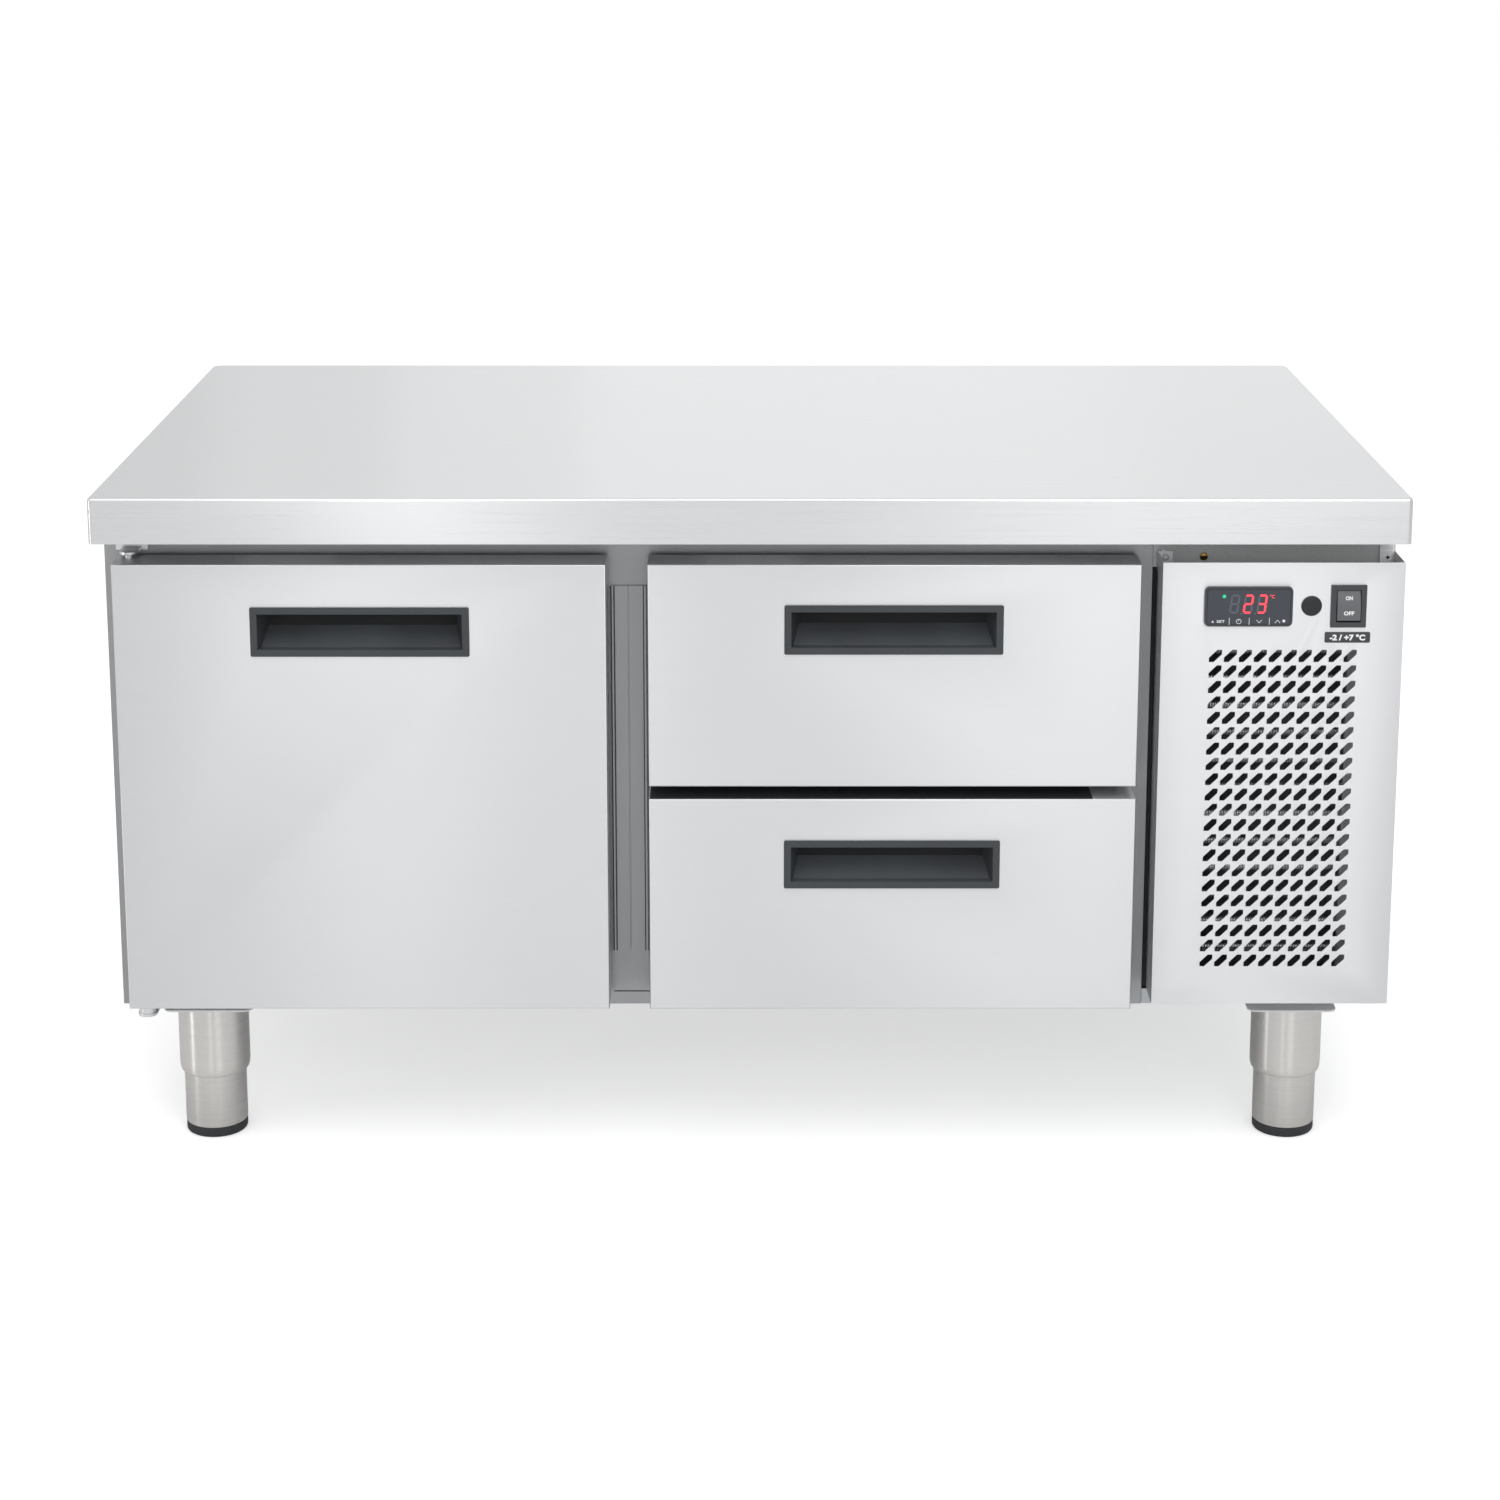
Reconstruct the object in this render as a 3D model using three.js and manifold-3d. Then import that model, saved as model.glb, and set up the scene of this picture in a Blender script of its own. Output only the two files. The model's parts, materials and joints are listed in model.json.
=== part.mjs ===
// Refrigerated chef base: one door, two drawers and a machine compartment under a worktop.
// Millimetres, +Z up, front towards -Y, origin on the floor under the middle of the worktop.
import * as THREE from "three";
import { mergeVertices } from "three/addons/utils/BufferGeometryUtils.js";
import Module from "manifold-3d";

const wasm = await Module();
wasm.setup();

// Overall size
const unitWidth = 1200;
const unitDepth = 700;
const unitHeight = 640;

// Clearances shared by the pieces
const seatGap = 0.3; // between pieces that rest on each other
const runGap = 0.45; // between pieces that slide or turn on each other
const cutOver = 2; // how far a cut runs past the face it opens

// Sheet metal
const casingSheet = 1;
const frameSheet = 1.2;
const panelSheet = 1.2;
const frontSheet = 1;

// Worktop
const worktopThickness = 42.5;
const worktopSheet = 1.5;
const worktopBend = 2.5;
const worktopCornerRadius = 9;
const worktopFrontRadius = 4;
const worktopReturn = 16;
const ribWidth = 90;
const ribSheet = 1.5;
const ribEndGap = 30;
const ribPlaceShares = [-0.36, 0, 0.36]; // of the worktop's width

// Cold box and machine compartment
const footHeight = 132;
const bodySideInset = 1.5;
const bodyBackInset = 10;
const machineWidth = 225;
const leftWall = 38;
const mullionWidth = 85;
const rightWall = 39;
const backWall = 41;
const floorWall = 36;
const ceilingWall = 46.2;
const postDepth = 40;
const crossRailHeight = 40;
const upperOpeningExtra = 5; // of the upper drawer's opening over the lower one's

// Fronts of the door and drawers
const frontSetback = 17; // behind the worktop's front edge
const frontThickness = 40;
const frontOverlap = 23.5; // past the opening on each side
const drawerGap = 12;
const frontEdgeBend = 1.5;
const gasketThickness = 6;
const gasketWidth = 10;
const gasketInset = 0.5; // clear of the opening's edge
const plugInset = 3; // raised part of the inner panel, clear of the gasket
const plugHeight = 3;

// Recessed handles
const handleWidth = 201;
const handleHeight = 46.5;
const handleBorder = 6.5;
const handleProud = 1.6;
const handleDepth = 30;
const handleWall = 2;
const handleTopDrop = 40; // from the front's top edge to the handle's
const upperHandleDrop = 38;
const handleLipRun = 8; // level part at the mouth before the floor climbs
const handleSideTaper = 7;
const handleFloorRise = 16;

// Door hinge
const pivotInset = 12; // of the pin from the door's rear left corner, both ways
const pinRadius = 4;
const pinLength = 12;
const pinShoulderRadius = 8;
const bracketSheet = 3;
const bracketWidth = 30;
const bracketTopGap = 0.7; // from the bracket's upright to the top of the body
const bracketRun = 4; // between the bracket's tab and the door's end
const bracketTabRadius = 9;

// Mullion cover
const coverWidth = 34.4;
const coverThickness = 2;
const coverRib = 3.2;
const coverRibProud = 0.8;
const coverGroove = 1.2;
const coverGrooveDepth = 1;
const coverTopInset = 7; // below the top of the openings
const coverFootRise = 19; // above the floor of the openings
const lipHeight = 14.5; // folded lip along the bottom of the frame
const lipStep = 0.5;

// Drawer slides and frames
const slideSheet = 1.5;
const slideHeight = 36;
const slideDepth = 12;
const slideFrontInset = 4; // behind the frame's back face
const slideBackGap = 35.8; // to the back liner
const rackSheet = 1.5;
const rackBottomInset = 3;
const rackPostWidth = 40;
const upperSlideRise = 42; // from the opening's floor to the slide's centre
const lowerSlideRise = 42;
const panBackGap = 15; // from the pan's end to the slide's
const frameLedge = 37.75; // from the frame's side to the hole for the pan
const panRim = 12; // ledge at the pan's ends
const panPlay = 3;
const panFrameWall = 1.5;
const panTopClear = 17; // over the frame's wall
const panFrameFall = 20; // wall below the slide's centre

// Wire shelf and its ledges
const shelfRise = 190;
const shelfWire = 3;
const shelfFrameWire = 4;
const shelfCount = 13;
const shelfPlay = 3;
const ledgeDepth = 10;
const ledgeHeight = 8;
const shelfFrontInset = 55;

// Evaporator column behind the centre post
const columnSheet = 1;
const columnCoilDepth = 150;
const coilEndPlate = 1.5;
const coilSideGap = 0.8;
const coilBottomRise = 60;
const coilTopClear = 43;
const coilFinPitch = 15;
const coilFin = 2;
const coilFinCut = 22;
const coilBackGap = 24;
const evapFanRadius = 66;
const evapFanHub = 20;
const evapFanDepth = 20;
const evapFanDrop = 118; // of the fan's axis below the box's ceiling
const evapFanSetback = 200; // of the fan's axis behind the frame
const evapMotorRadius = 24;
const evapMotorLength = 34;
const evapArmWidth = 10;
const evapArmThickness = 3;
const columnVentHeight = 12;
const columnVentLength = 90;
const columnVentCount = 6;

// Machine compartment
const machinePanelGap = 3.5; // dark joint beside the cold box
const machinePanelTopGap = 20.2; // to the top of the body
const machinePanelFootGap = 19; // to the bottom of the body
const machinePanelDepth = 48;
const machineLip = 15;
const topRailFall = 36;
const backVentCount = 12;
const backVentHeight = 8;
const backVentPitch = 20;
const backVentSideInset = 35;
const backVentRise = 90;

// Slots in the machine panel
const slotPitchX = 13.73;
const slotPitchZ = 14.76;
const slotWidth = 5.9;
const slotLength = 16.4;
const slotFirstX = 50.2; // of the first column's centre from the panel's left edge
const slotFirstZ = 42.7; // of the lowest row's centre from the panel's bottom edge
const slotSideClear = 47.7; // from the last column to the panel's right edge
const slotTopClear = 88; // from the highest row to the panel's top edge
const slotLean = Math.PI / 4;

// Controller and switch
const bezelWidth = 80.5;
const bezelHeight = 37.3;
const bezelProud = 3.5;
const bezelRadius = 4.5;
const bezelBorder = 2;
const controllerShift = 2.4; // of the controller and the switch to the right of even spacing
const switchShift = 1.4;
const controlDrop = 40.6; // of the controls' centre line from the panel's top edge
const controllerBodyWidth = 71;
const controllerBodyHeight = 29;
const controllerBodyDepth = 36;
const windowThickness = 1.6;
const windowProud = 0.5;
const switchWidth = 32.5;
const switchHeight = 40;
const switchProud = 2.5;
const switchBodyWidth = 28;
const switchBodyHeight = 36;
const switchBodyDepth = 30;
const rockerWidth = 21.4;
const rockerHeight = 29;
const rockerPocket = 12;
const rockerThrow = 7 * Math.PI / 180;
const rockerPivotDepth = 6;
const rockerProud = 1.5;

// Condenser, shroud and fan
const condenserLeftInset = 22; // from the casing wall
const condenserRightInset = 38; // from the body's right side
const condenserTopClear = 32; // below the fall of the top rail
const condenserDepth = 66;
const condenserRise = 44; // above the base
const condenserSetback = 1.3; // of the end plates behind the base's front lip
const finPitch = 9;
const finThickness = 2;
const finCut = 26;
const endPlate = 1.5;
const endPlateOver = 4;
const bendRadius = 12.7;
const tubeRadius = 4.8;
const condenserFoot = 26;
const shroudSheet = 1.5;
const shroudDepth = 34;
const fanEndGap = 0.5; // between the blades' reach and the ends of the ring
const fanTip = 3;
const fanSideClear = 5; // from the blades' tips to the end of the fins
const fanHub = 24;
const fanDepth = 24;
const fanBlades = 5;
const bladeThickness = 1.6;
const bladeSweepShare = 0.42; // of the blade's tip radius
const motorRadius = 36;
const motorLength = 58;
const motorShaftRadius = 4;
const motorArmWidth = 12;
const motorArmThickness = 3;
const motorArms = 3;

// Compressor and refrigerant lines
const compressorRadius = 70;
const compressorHeight = 150;
const compressorRearInset = 150; // of its axis from the back panel
const compressorFootHeight = 14;
const compressorFootRadius = 12;
const compressorPlate = 3;
const compressorSideClear = 22.5;
const compressorPlateDepth = 110;
const portStub = 6; // of the compressor's ports past its shell
const portHeightShare = 0.66; // of the compressor's height
const lineRadius = 4;
const sleeveRadius = 8;
const drierRadius = 10;
const drierLength = 90;
const portClearance = 0.6;
const lineRise = 16; // of the suction line above the cold box's floor
const lineBackGap = 4; // of the suction line in front of the back liner

// Electrical box
const boxWidth = 150;
const boxDepth = 150;
const boxHeight = 70;
const boxTopDrop = 45.2; // below the top of the body
const boxFrontInset = 260;
const boxBend = 4;

// Feet
const footSideInset = 84; // of a foot's axis from the worktop's side
const footEndInset = 80; // and from its front or back edge
const sleeveSkirt = 3.1; // wall of the sleeve round the insert
const sleeveWall = 3;
const sleeveHeight = 70;
const sleeveEdge = 3;
const insertRadius = 29.5;
const insertEngagement = 40;
const padHeight = 10;
const padEdge = 2;
const padSeam = 0.8;
const footPlateWidth = 84;
const footPlateOutReach = 14;
const footPlateInReach = 60;
const footPlateThickness = 3;

// Facets on round forms
const roundSides = 12;
const fineSides = 20;
const footSides = 16;
const lineSides = 6;
const routeSteps = 18;
const edgeSteps = 2;
const slotEndSteps = 2;

// Places worked out from the sizes above
const topUnder = unitHeight - worktopThickness;
const bodyTop = topUnder - seatGap;
const bodyLeft = -unitWidth / 2 + bodySideInset;
const bodyRight = unitWidth / 2 - bodySideInset;
const bodyBack = unitDepth / 2 - bodyBackInset;
const frontFace = -unitDepth / 2 + frontSetback;
const frontBack = frontFace + frontThickness;
const framePlane = frontBack + gasketThickness;
const boxLeft = bodyLeft;
const boxRight = bodyRight - machineWidth;
const openingWidth = (boxRight - boxLeft - leftWall - mullionWidth - rightWall) / 2;
const doorOpenLeft = boxLeft + leftWall;
const doorOpenRight = doorOpenLeft + openingWidth;
const drawerOpenLeft = doorOpenRight + mullionWidth;
const drawerOpenRight = drawerOpenLeft + openingWidth;
const mullionCentre = (doorOpenRight + drawerOpenLeft) / 2;
const openFloor = footHeight + floorWall;
const openCeiling = bodyTop - ceilingWall;
const openingHeight = openCeiling - openFloor;
const lowerOpeningHeight = (openingHeight - crossRailHeight - upperOpeningExtra) / 2;
const lowerCeiling = openFloor + lowerOpeningHeight;
const upperFloor = lowerCeiling + crossRailHeight;
const crossRailCentre = (lowerCeiling + upperFloor) / 2;
const linerBack = bodyBack - backWall;
const frameBack = framePlane + frameSheet;
const slideFront = frameBack + slideFrontInset;
const slideLength = linerBack - slideBackGap - slideFront;
const panLength = slideLength - panBackGap;
const panFrameRise = lowerOpeningHeight - lowerSlideRise - panTopClear;
const coilHeight = openingHeight - coilBottomRise - coilTopClear;
const machineFloor = footHeight + panelSheet;
const condenserWidth = machineWidth - condenserLeftInset - condenserRightInset - 2 * endPlate;
const fanRadius = condenserWidth / 2 - fanSideClear;
const compressorPlateWidth = machineWidth - 2 * compressorSideClear;
const sleeveBore = insertRadius + portClearance + seatGap;
const sleeveOuter = sleeveBore + sleeveSkirt;
const footCentreX = unitWidth / 2 - footSideInset;
const footCentreY = unitDepth / 2 - footEndInset;

// Colours and finish
const steel = { color: 0xd6d7d8, roughness: 0.32, metalness: 0.9 };
const frontSteel = { color: 0xdcdddf, roughness: 0.28, metalness: 0.9 };
const darkSteel = { color: 0x8a8b8c, roughness: 0.35, metalness: 0.9 };
const linerSteel = { color: 0xc4c6c8, roughness: 0.4, metalness: 0.85 };
const foam = { color: 0xe6d9a8, roughness: 0.9, metalness: 0 };
const rubber = { color: 0x2e3032, roughness: 0.75, metalness: 0 };
const handlePlastic = { color: 0x33373a, roughness: 0.5, metalness: 0 };
const blackPlastic = { color: 0x2a2b2e, roughness: 0.45, metalness: 0 };
const whitePlastic = { color: 0xe9e9e6, roughness: 0.5, metalness: 0 };
const windowPlastic = { color: 0x4a4d57, roughness: 0.15, metalness: 0 };
const aluminium = { color: 0xb4b7b9, roughness: 0.4, metalness: 0.9 };
const galvanised = { color: 0xaab0b4, roughness: 0.45, metalness: 0.85 };
const blackPaint = { color: 0x1c1d1f, roughness: 0.5, metalness: 0.2 };
const copper = { color: 0xb8714a, roughness: 0.35, metalness: 0.95 };
const wireSteel = { color: 0xc9cccf, roughness: 0.3, metalness: 0.9 };

const chefBase = new THREE.Group();

// A closed three.js geometry as a solid that can be joined and cut
function solidOf(geometry) {
  const bare = geometry.index ? geometry.toNonIndexed() : geometry.clone();
  bare.deleteAttribute("normal");
  bare.deleteAttribute("uv");
  const merged = mergeVertices(bare);
  const vertProperties = new Float32Array(merged.attributes.position.array);
  const triVerts = facingOut(vertProperties, new Uint32Array(merged.index.array));
  return new wasm.Manifold(new wasm.Mesh({ numProp: 3, vertProperties, triVerts }));
}

// The same triangles with their faces pointing out of the volume they close
function facingOut(positions, triangles) {
  const corner = (i) => new THREE.Vector3().fromArray(positions, i * 3);
  let volume = 0;
  for (let i = 0; i < triangles.length; i += 3) {
    const [a, b, c] = [corner(triangles[i]), corner(triangles[i + 1]), corner(triangles[i + 2])];
    volume += a.dot(b.cross(c));
  }
  if (volume >= 0) {
    return triangles;
  }
  const turnedRound = triangles.slice();
  for (let i = 0; i < triangles.length; i += 3) {
    turnedRound[i] = triangles[i + 1];
    turnedRound[i + 1] = triangles[i];
  }
  return turnedRound;
}

// Puts a solid into a group of the model as a named mesh
function place(name, solid, look, parent = chefBase) {
  const { vertProperties, triVerts } = solid.getMesh();
  const geometry = new THREE.BufferGeometry();
  geometry.setAttribute("position", new THREE.BufferAttribute(new Float32Array(vertProperties), 3));
  geometry.setIndex(new THREE.BufferAttribute(new Uint32Array(triVerts), 1));
  geometry.computeVertexNormals();
  const mesh = new THREE.Mesh(geometry, new THREE.MeshStandardMaterial(look));
  mesh.name = name;
  parent.add(mesh);
  return mesh;
}

// A nested group whose pieces are drawn about a place of their own
function groupAt(x, y, z) {
  const group = new THREE.Group();
  group.position.set(x, y, z);
  chefBase.add(group);
  return group;
}

// A block between two corners
function block(x0, x1, y0, y1, z0, z1) {
  const geometry = new THREE.BoxGeometry(x1 - x0, y1 - y0, z1 - z0);
  geometry.translate((x0 + x1) / 2, (y0 + y1) / 2, (z0 + z1) / 2);
  return solidOf(geometry);
}

function outline(points) {
  return new THREE.Shape(points.map(([u, v]) => new THREE.Vector2(u, v)));
}

function extruded(shape, length, curveSegments = edgeSteps) {
  return new THREE.ExtrudeGeometry(shape, { depth: length, bevelEnabled: false, curveSegments });
}

// A shape drawn in X and Y, from z0 up to z1
function risen(shape, z0, z1, curveSegments) {
  const geometry = extruded(shape, z1 - z0, curveSegments);
  geometry.translate(0, 0, z0);
  return solidOf(geometry);
}

// A shape drawn in X and Z, from y0 back to y1
function deepened(shape, y0, y1, curveSegments) {
  const geometry = extruded(shape, y1 - y0, curveSegments);
  geometry.rotateX(Math.PI / 2);
  geometry.translate(0, y1, 0);
  return solidOf(geometry);
}

// A shape drawn in Y and Z, from x0 across to x1
function spanned(shape, x0, x1, curveSegments) {
  const geometry = extruded(shape, x1 - x0, curveSegments);
  geometry.rotateX(Math.PI / 2);
  geometry.rotateZ(Math.PI / 2);
  geometry.translate(x0, 0, 0);
  return solidOf(geometry);
}

function roundedRect(u0, u1, v0, v1, radius) {
  const shape = new THREE.Shape();
  shape.moveTo(u0 + radius, v0);
  shape.lineTo(u1 - radius, v0);
  shape.absarc(u1 - radius, v0 + radius, radius, -Math.PI / 2, 0);
  shape.lineTo(u1, v1 - radius);
  shape.absarc(u1 - radius, v1 - radius, radius, 0, Math.PI / 2);
  shape.lineTo(u0 + radius, v1);
  shape.absarc(u0 + radius, v1 - radius, radius, Math.PI / 2, Math.PI);
  shape.lineTo(u0, v0 + radius);
  shape.absarc(u0 + radius, v0 + radius, radius, Math.PI, Math.PI * 3 / 2);
  return shape;
}

// A round bar along Z, along Y or along X
function barZ(radius, x, y, z0, z1, sides = roundSides) {
  const geometry = new THREE.CylinderGeometry(radius, radius, z1 - z0, sides);
  geometry.rotateX(Math.PI / 2);
  geometry.translate(x, y, (z0 + z1) / 2);
  return solidOf(geometry);
}

function barY(radius, x, z, y0, y1, sides = roundSides) {
  const geometry = new THREE.CylinderGeometry(radius, radius, y1 - y0, sides);
  geometry.translate(x, (y0 + y1) / 2, z);
  return solidOf(geometry);
}

function barX(radius, y, z, x0, x1, sides = roundSides) {
  const geometry = new THREE.CylinderGeometry(radius, radius, x1 - x0, sides);
  geometry.rotateZ(Math.PI / 2);
  geometry.translate((x0 + x1) / 2, y, z);
  return solidOf(geometry);
}

// A turned form about a vertical axis: profile points are radius and height
function turned(profile, x, y, sides = roundSides) {
  const points = profile.map(([radius, height]) => new THREE.Vector2(radius, height));
  const geometry = new THREE.LatheGeometry(points, sides);
  geometry.rotateX(Math.PI / 2);
  geometry.translate(x, y, 0);
  return solidOf(geometry);
}

function roundSection(radius, sides) {
  const points = [];
  for (let i = 0; i < sides; i += 1) {
    const angle = i * 2 * Math.PI / sides;
    points.push([radius * Math.cos(angle), radius * Math.sin(angle)]);
  }
  return outline(points);
}

// A tube along a smooth route
function piped(points, radius, steps, sides = lineSides) {
  const route = new THREE.CatmullRomCurve3(points.map((p) => new THREE.Vector3(...p)), false, "centripetal");
  const geometry = new THREE.ExtrudeGeometry(roundSection(radius, sides), {
    steps, extrudePath: route, bevelEnabled: false,
  });
  return solidOf(geometry);
}

function joined(solids) {
  return solids.reduce((whole, next) => whole.add(next));
}

// Worktop: a folded sheet tray with a return flange and stiffening ribs
function worktopPlan(inset, frontRadius, backRadius) {
  const side = unitWidth / 2 - inset;
  const end = unitDepth / 2 - inset;
  const plan = new THREE.Shape();
  plan.moveTo(-side + frontRadius, -end);
  plan.lineTo(side - frontRadius, -end);
  plan.absarc(side - frontRadius, -end + frontRadius, frontRadius, -Math.PI / 2, 0);
  plan.lineTo(side, end - backRadius);
  plan.absarc(side - backRadius, end - backRadius, backRadius, 0, Math.PI / 2);
  plan.lineTo(-side + backRadius, end);
  plan.absarc(-side + backRadius, end - backRadius, backRadius, Math.PI / 2, Math.PI);
  plan.lineTo(-side, -end + frontRadius);
  plan.absarc(-side + frontRadius, -end + frontRadius, frontRadius, Math.PI, Math.PI * 3 / 2);
  return plan;
}

function makeWorktop() {
  const bentHeight = worktopThickness - worktopBend + cutOver;
  const blank = new THREE.ExtrudeGeometry(worktopPlan(0, worktopFrontRadius, worktopCornerRadius), {
    depth: bentHeight, bevelThickness: worktopBend, bevelSize: worktopBend, bevelOffset: -worktopBend,
    bevelSegments: edgeSteps, curveSegments: edgeSteps,
  });
  blank.translate(0, 0, unitHeight - worktopBend - bentHeight);
  const side = unitWidth / 2;
  const end = unitDepth / 2;
  const keep = block(-side, side, -end, end, topUnder, unitHeight);
  const innerPlan = worktopPlan(
    worktopSheet, worktopFrontRadius - worktopSheet, worktopCornerRadius - worktopSheet);
  const hollow = risen(innerPlan, topUnder + worktopSheet, unitHeight - worktopSheet);
  const mouth = block(
    -side + worktopReturn, side - worktopReturn, -end + worktopReturn, end - worktopReturn,
    topUnder - cutOver, unitHeight - worktopSheet);
  const shell = solidOf(blank).intersect(keep).subtract(hollow).subtract(mouth);
  const ribs = ribPlaceShares.map((share) => {
    const x = share * unitWidth;
    const half = ribWidth / 2;
    const under = unitHeight - worktopSheet;
    const rib = block(x - half, x + half, -end + ribEndGap, end - ribEndGap, topUnder, under);
    const inside = block(
      x - half + ribSheet, x + half - ribSheet, -end, end, topUnder + ribSheet, under - ribSheet);
    return rib.subtract(inside);
  });
  place("worktop", joined([shell, ...ribs]), steel);
}

// Cold box: casing, insulation and liner nest in each other and open at the front
const portY = linerBack - lineBackGap - sleeveRadius;
const portZ = openFloor + lineRise;

function wallPort() {
  return barX(sleeveRadius + portClearance, portY, portZ, drawerOpenRight - cutOver, boxRight + cutOver);
}

function openBox(outer, inner) {
  const [x0, x1, y0, y1, z0, z1] = outer;
  return block(x0, x1, y0, y1, z0, z1).subtract(block(...inner)).subtract(wallPort());
}

function makeColdBox() {
  const mouth = frameBack + seatGap;
  const past = mouth - cutOver;
  const casingIn = casingSheet;
  const foamOut = casingSheet + seatGap;
  const foamIn = casingSheet + seatGap;
  place("outer_casing", openBox(
    [boxLeft, boxRight, mouth, bodyBack, footHeight, bodyTop],
    [boxLeft + casingIn, boxRight - casingIn, past, bodyBack - casingIn,
      footHeight + casingIn, bodyTop - casingIn]),
  steel);
  place("insulation", openBox(
    [boxLeft + foamOut, boxRight - foamOut, mouth, bodyBack - foamOut,
      footHeight + foamOut, bodyTop - foamOut],
    [doorOpenLeft - foamIn, drawerOpenRight + foamIn, past, linerBack + foamIn, openFloor - foamIn,
      openCeiling + foamIn]),
  foam);
  const liner = openBox(
    [doorOpenLeft - casingSheet, drawerOpenRight + casingSheet, mouth, linerBack + casingSheet,
      openFloor - casingSheet, openCeiling + casingSheet],
    [doorOpenLeft, drawerOpenRight, past, linerBack, openFloor, openCeiling]);
  const ledge = shelfLedge(doorOpenLeft - casingSheet, doorOpenLeft + ledgeDepth);
  place("inner_liner", liner.add(ledge), linerSteel);
}

function shelfLedge(x0, x1) {
  const top = openFloor + shelfRise;
  return block(x0, x1, frameBack + shelfFrontInset, linerBack - shelfPlay, top - ledgeHeight, top);
}

function makeFrontFrame() {
  const through = [framePlane - cutOver, frameBack + cutOver];
  const plate = block(boxLeft, boxRight, framePlane, frameBack, footHeight, bodyTop)
    .subtract(block(doorOpenLeft, doorOpenRight, ...through, openFloor, openCeiling))
    .subtract(block(drawerOpenLeft, drawerOpenRight, ...through, openFloor, lowerCeiling))
    .subtract(block(drawerOpenLeft, drawerOpenRight, ...through, upperFloor, openCeiling));
  const postBack = frameBack + postDepth;
  const overlap = frameBack - frameSheet / 2;
  const post = block(
    doorOpenRight + seatGap, drawerOpenLeft - seatGap, overlap, postBack,
    openFloor + seatGap, openCeiling - seatGap);
  const rail = block(
    drawerOpenLeft - cutOver, drawerOpenRight - seatGap, overlap + seatGap, postBack - seatGap,
    lowerCeiling + seatGap, upperFloor - seatGap);
  const lip = block(
    boxLeft - cutOver, boxRight + cutOver, framePlane - cutOver, framePlane + lipStep,
    footHeight - cutOver, footHeight + lipHeight);
  place("front_frame", joined([plate, post, rail]).subtract(lip), darkSteel);

  const half = coverWidth / 2;
  const back = framePlane - seatGap;
  const front = back - coverThickness;
  const section = outline([
    [-half, back], [-half, front - coverRibProud], [-half + coverRib, front - coverRibProud],
    [-half + coverRib, front], [-coverGroove / 2, front], [-coverGroove / 2, front + coverGrooveDepth],
    [coverGroove / 2, front + coverGrooveDepth], [coverGroove / 2, front], [half - coverRib, front],
    [half - coverRib, front - coverRibProud], [half, front - coverRibProud], [half, back],
  ].map(([x, y]) => [x + mullionCentre, y]));
  place("mullion_cover", risen(section, openFloor + coverFootRise, openCeiling - coverTopInset), darkSteel);
}

// A front: folded skin with rounded face edges, filled inner panel, gasket and recessed handle.
// It is drawn about the middle of its outer face.
function foldedSkin(halfWidth, halfHeight) {
  const bend = frontEdgeBend;
  const straight = frontThickness - bend + cutOver;
  const shape = outline([
    [-halfWidth, -halfHeight], [halfWidth, -halfHeight], [halfWidth, halfHeight], [-halfWidth, halfHeight],
  ]);
  const blank = new THREE.ExtrudeGeometry(shape, {
    depth: straight, bevelThickness: bend, bevelSize: bend, bevelOffset: -bend, bevelSegments: edgeSteps,
  });
  blank.rotateX(Math.PI / 2);
  blank.translate(0, bend + straight, 0);
  return solidOf(blank).intersect(block(-halfWidth, halfWidth, 0, frontThickness, -halfHeight, halfHeight));
}

// The pull: a rim on the skin and a pocket whose floor climbs from the lower lip, drawn about its middle
const pullMouthX = handleWidth / 2 - handleBorder;
const pullMouthZ = handleHeight / 2 - handleBorder;

function pullSolid() {
  const rim = deepened(
    roundedRect(-handleWidth / 2, handleWidth / 2, -handleHeight / 2, handleHeight / 2, handleProud),
    -handleProud, -seatGap);
  const bodyX = pullMouthX + handleWall;
  const bodyZ = pullMouthZ + handleWall;
  const shell = block(-bodyX, bodyX, -handleProud, handleDepth, -bodyZ, bodyZ);
  const deep = handleDepth - handleWall;
  const mouthFront = -handleProud - cutOver;
  const side = outline([
    [mouthFront, -pullMouthZ], [handleLipRun, -pullMouthZ], [deep, -pullMouthZ + handleFloorRise],
    [deep, pullMouthZ], [mouthFront, pullMouthZ],
  ]);
  const plan = outline([
    [-pullMouthX, mouthFront], [pullMouthX, mouthFront], [pullMouthX, 0],
    [pullMouthX - handleSideTaper, deep], [-pullMouthX + handleSideTaper, deep], [-pullMouthX, 0],
  ]);
  const cavity = spanned(side, -pullMouthX, pullMouthX).intersect(risen(plan, -pullMouthZ, pullMouthZ));
  return joined([rim, shell]).subtract(cavity);
}

// The hole that the pull's body needs in the skin and the inner panel
function pullHole(centreZ) {
  const halfX = pullMouthX + handleWall + seatGap;
  const halfZ = pullMouthZ + handleWall + seatGap;
  return block(-halfX, halfX, -cutOver, handleDepth + seatGap, centreZ - halfZ, centreZ + halfZ);
}

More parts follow.
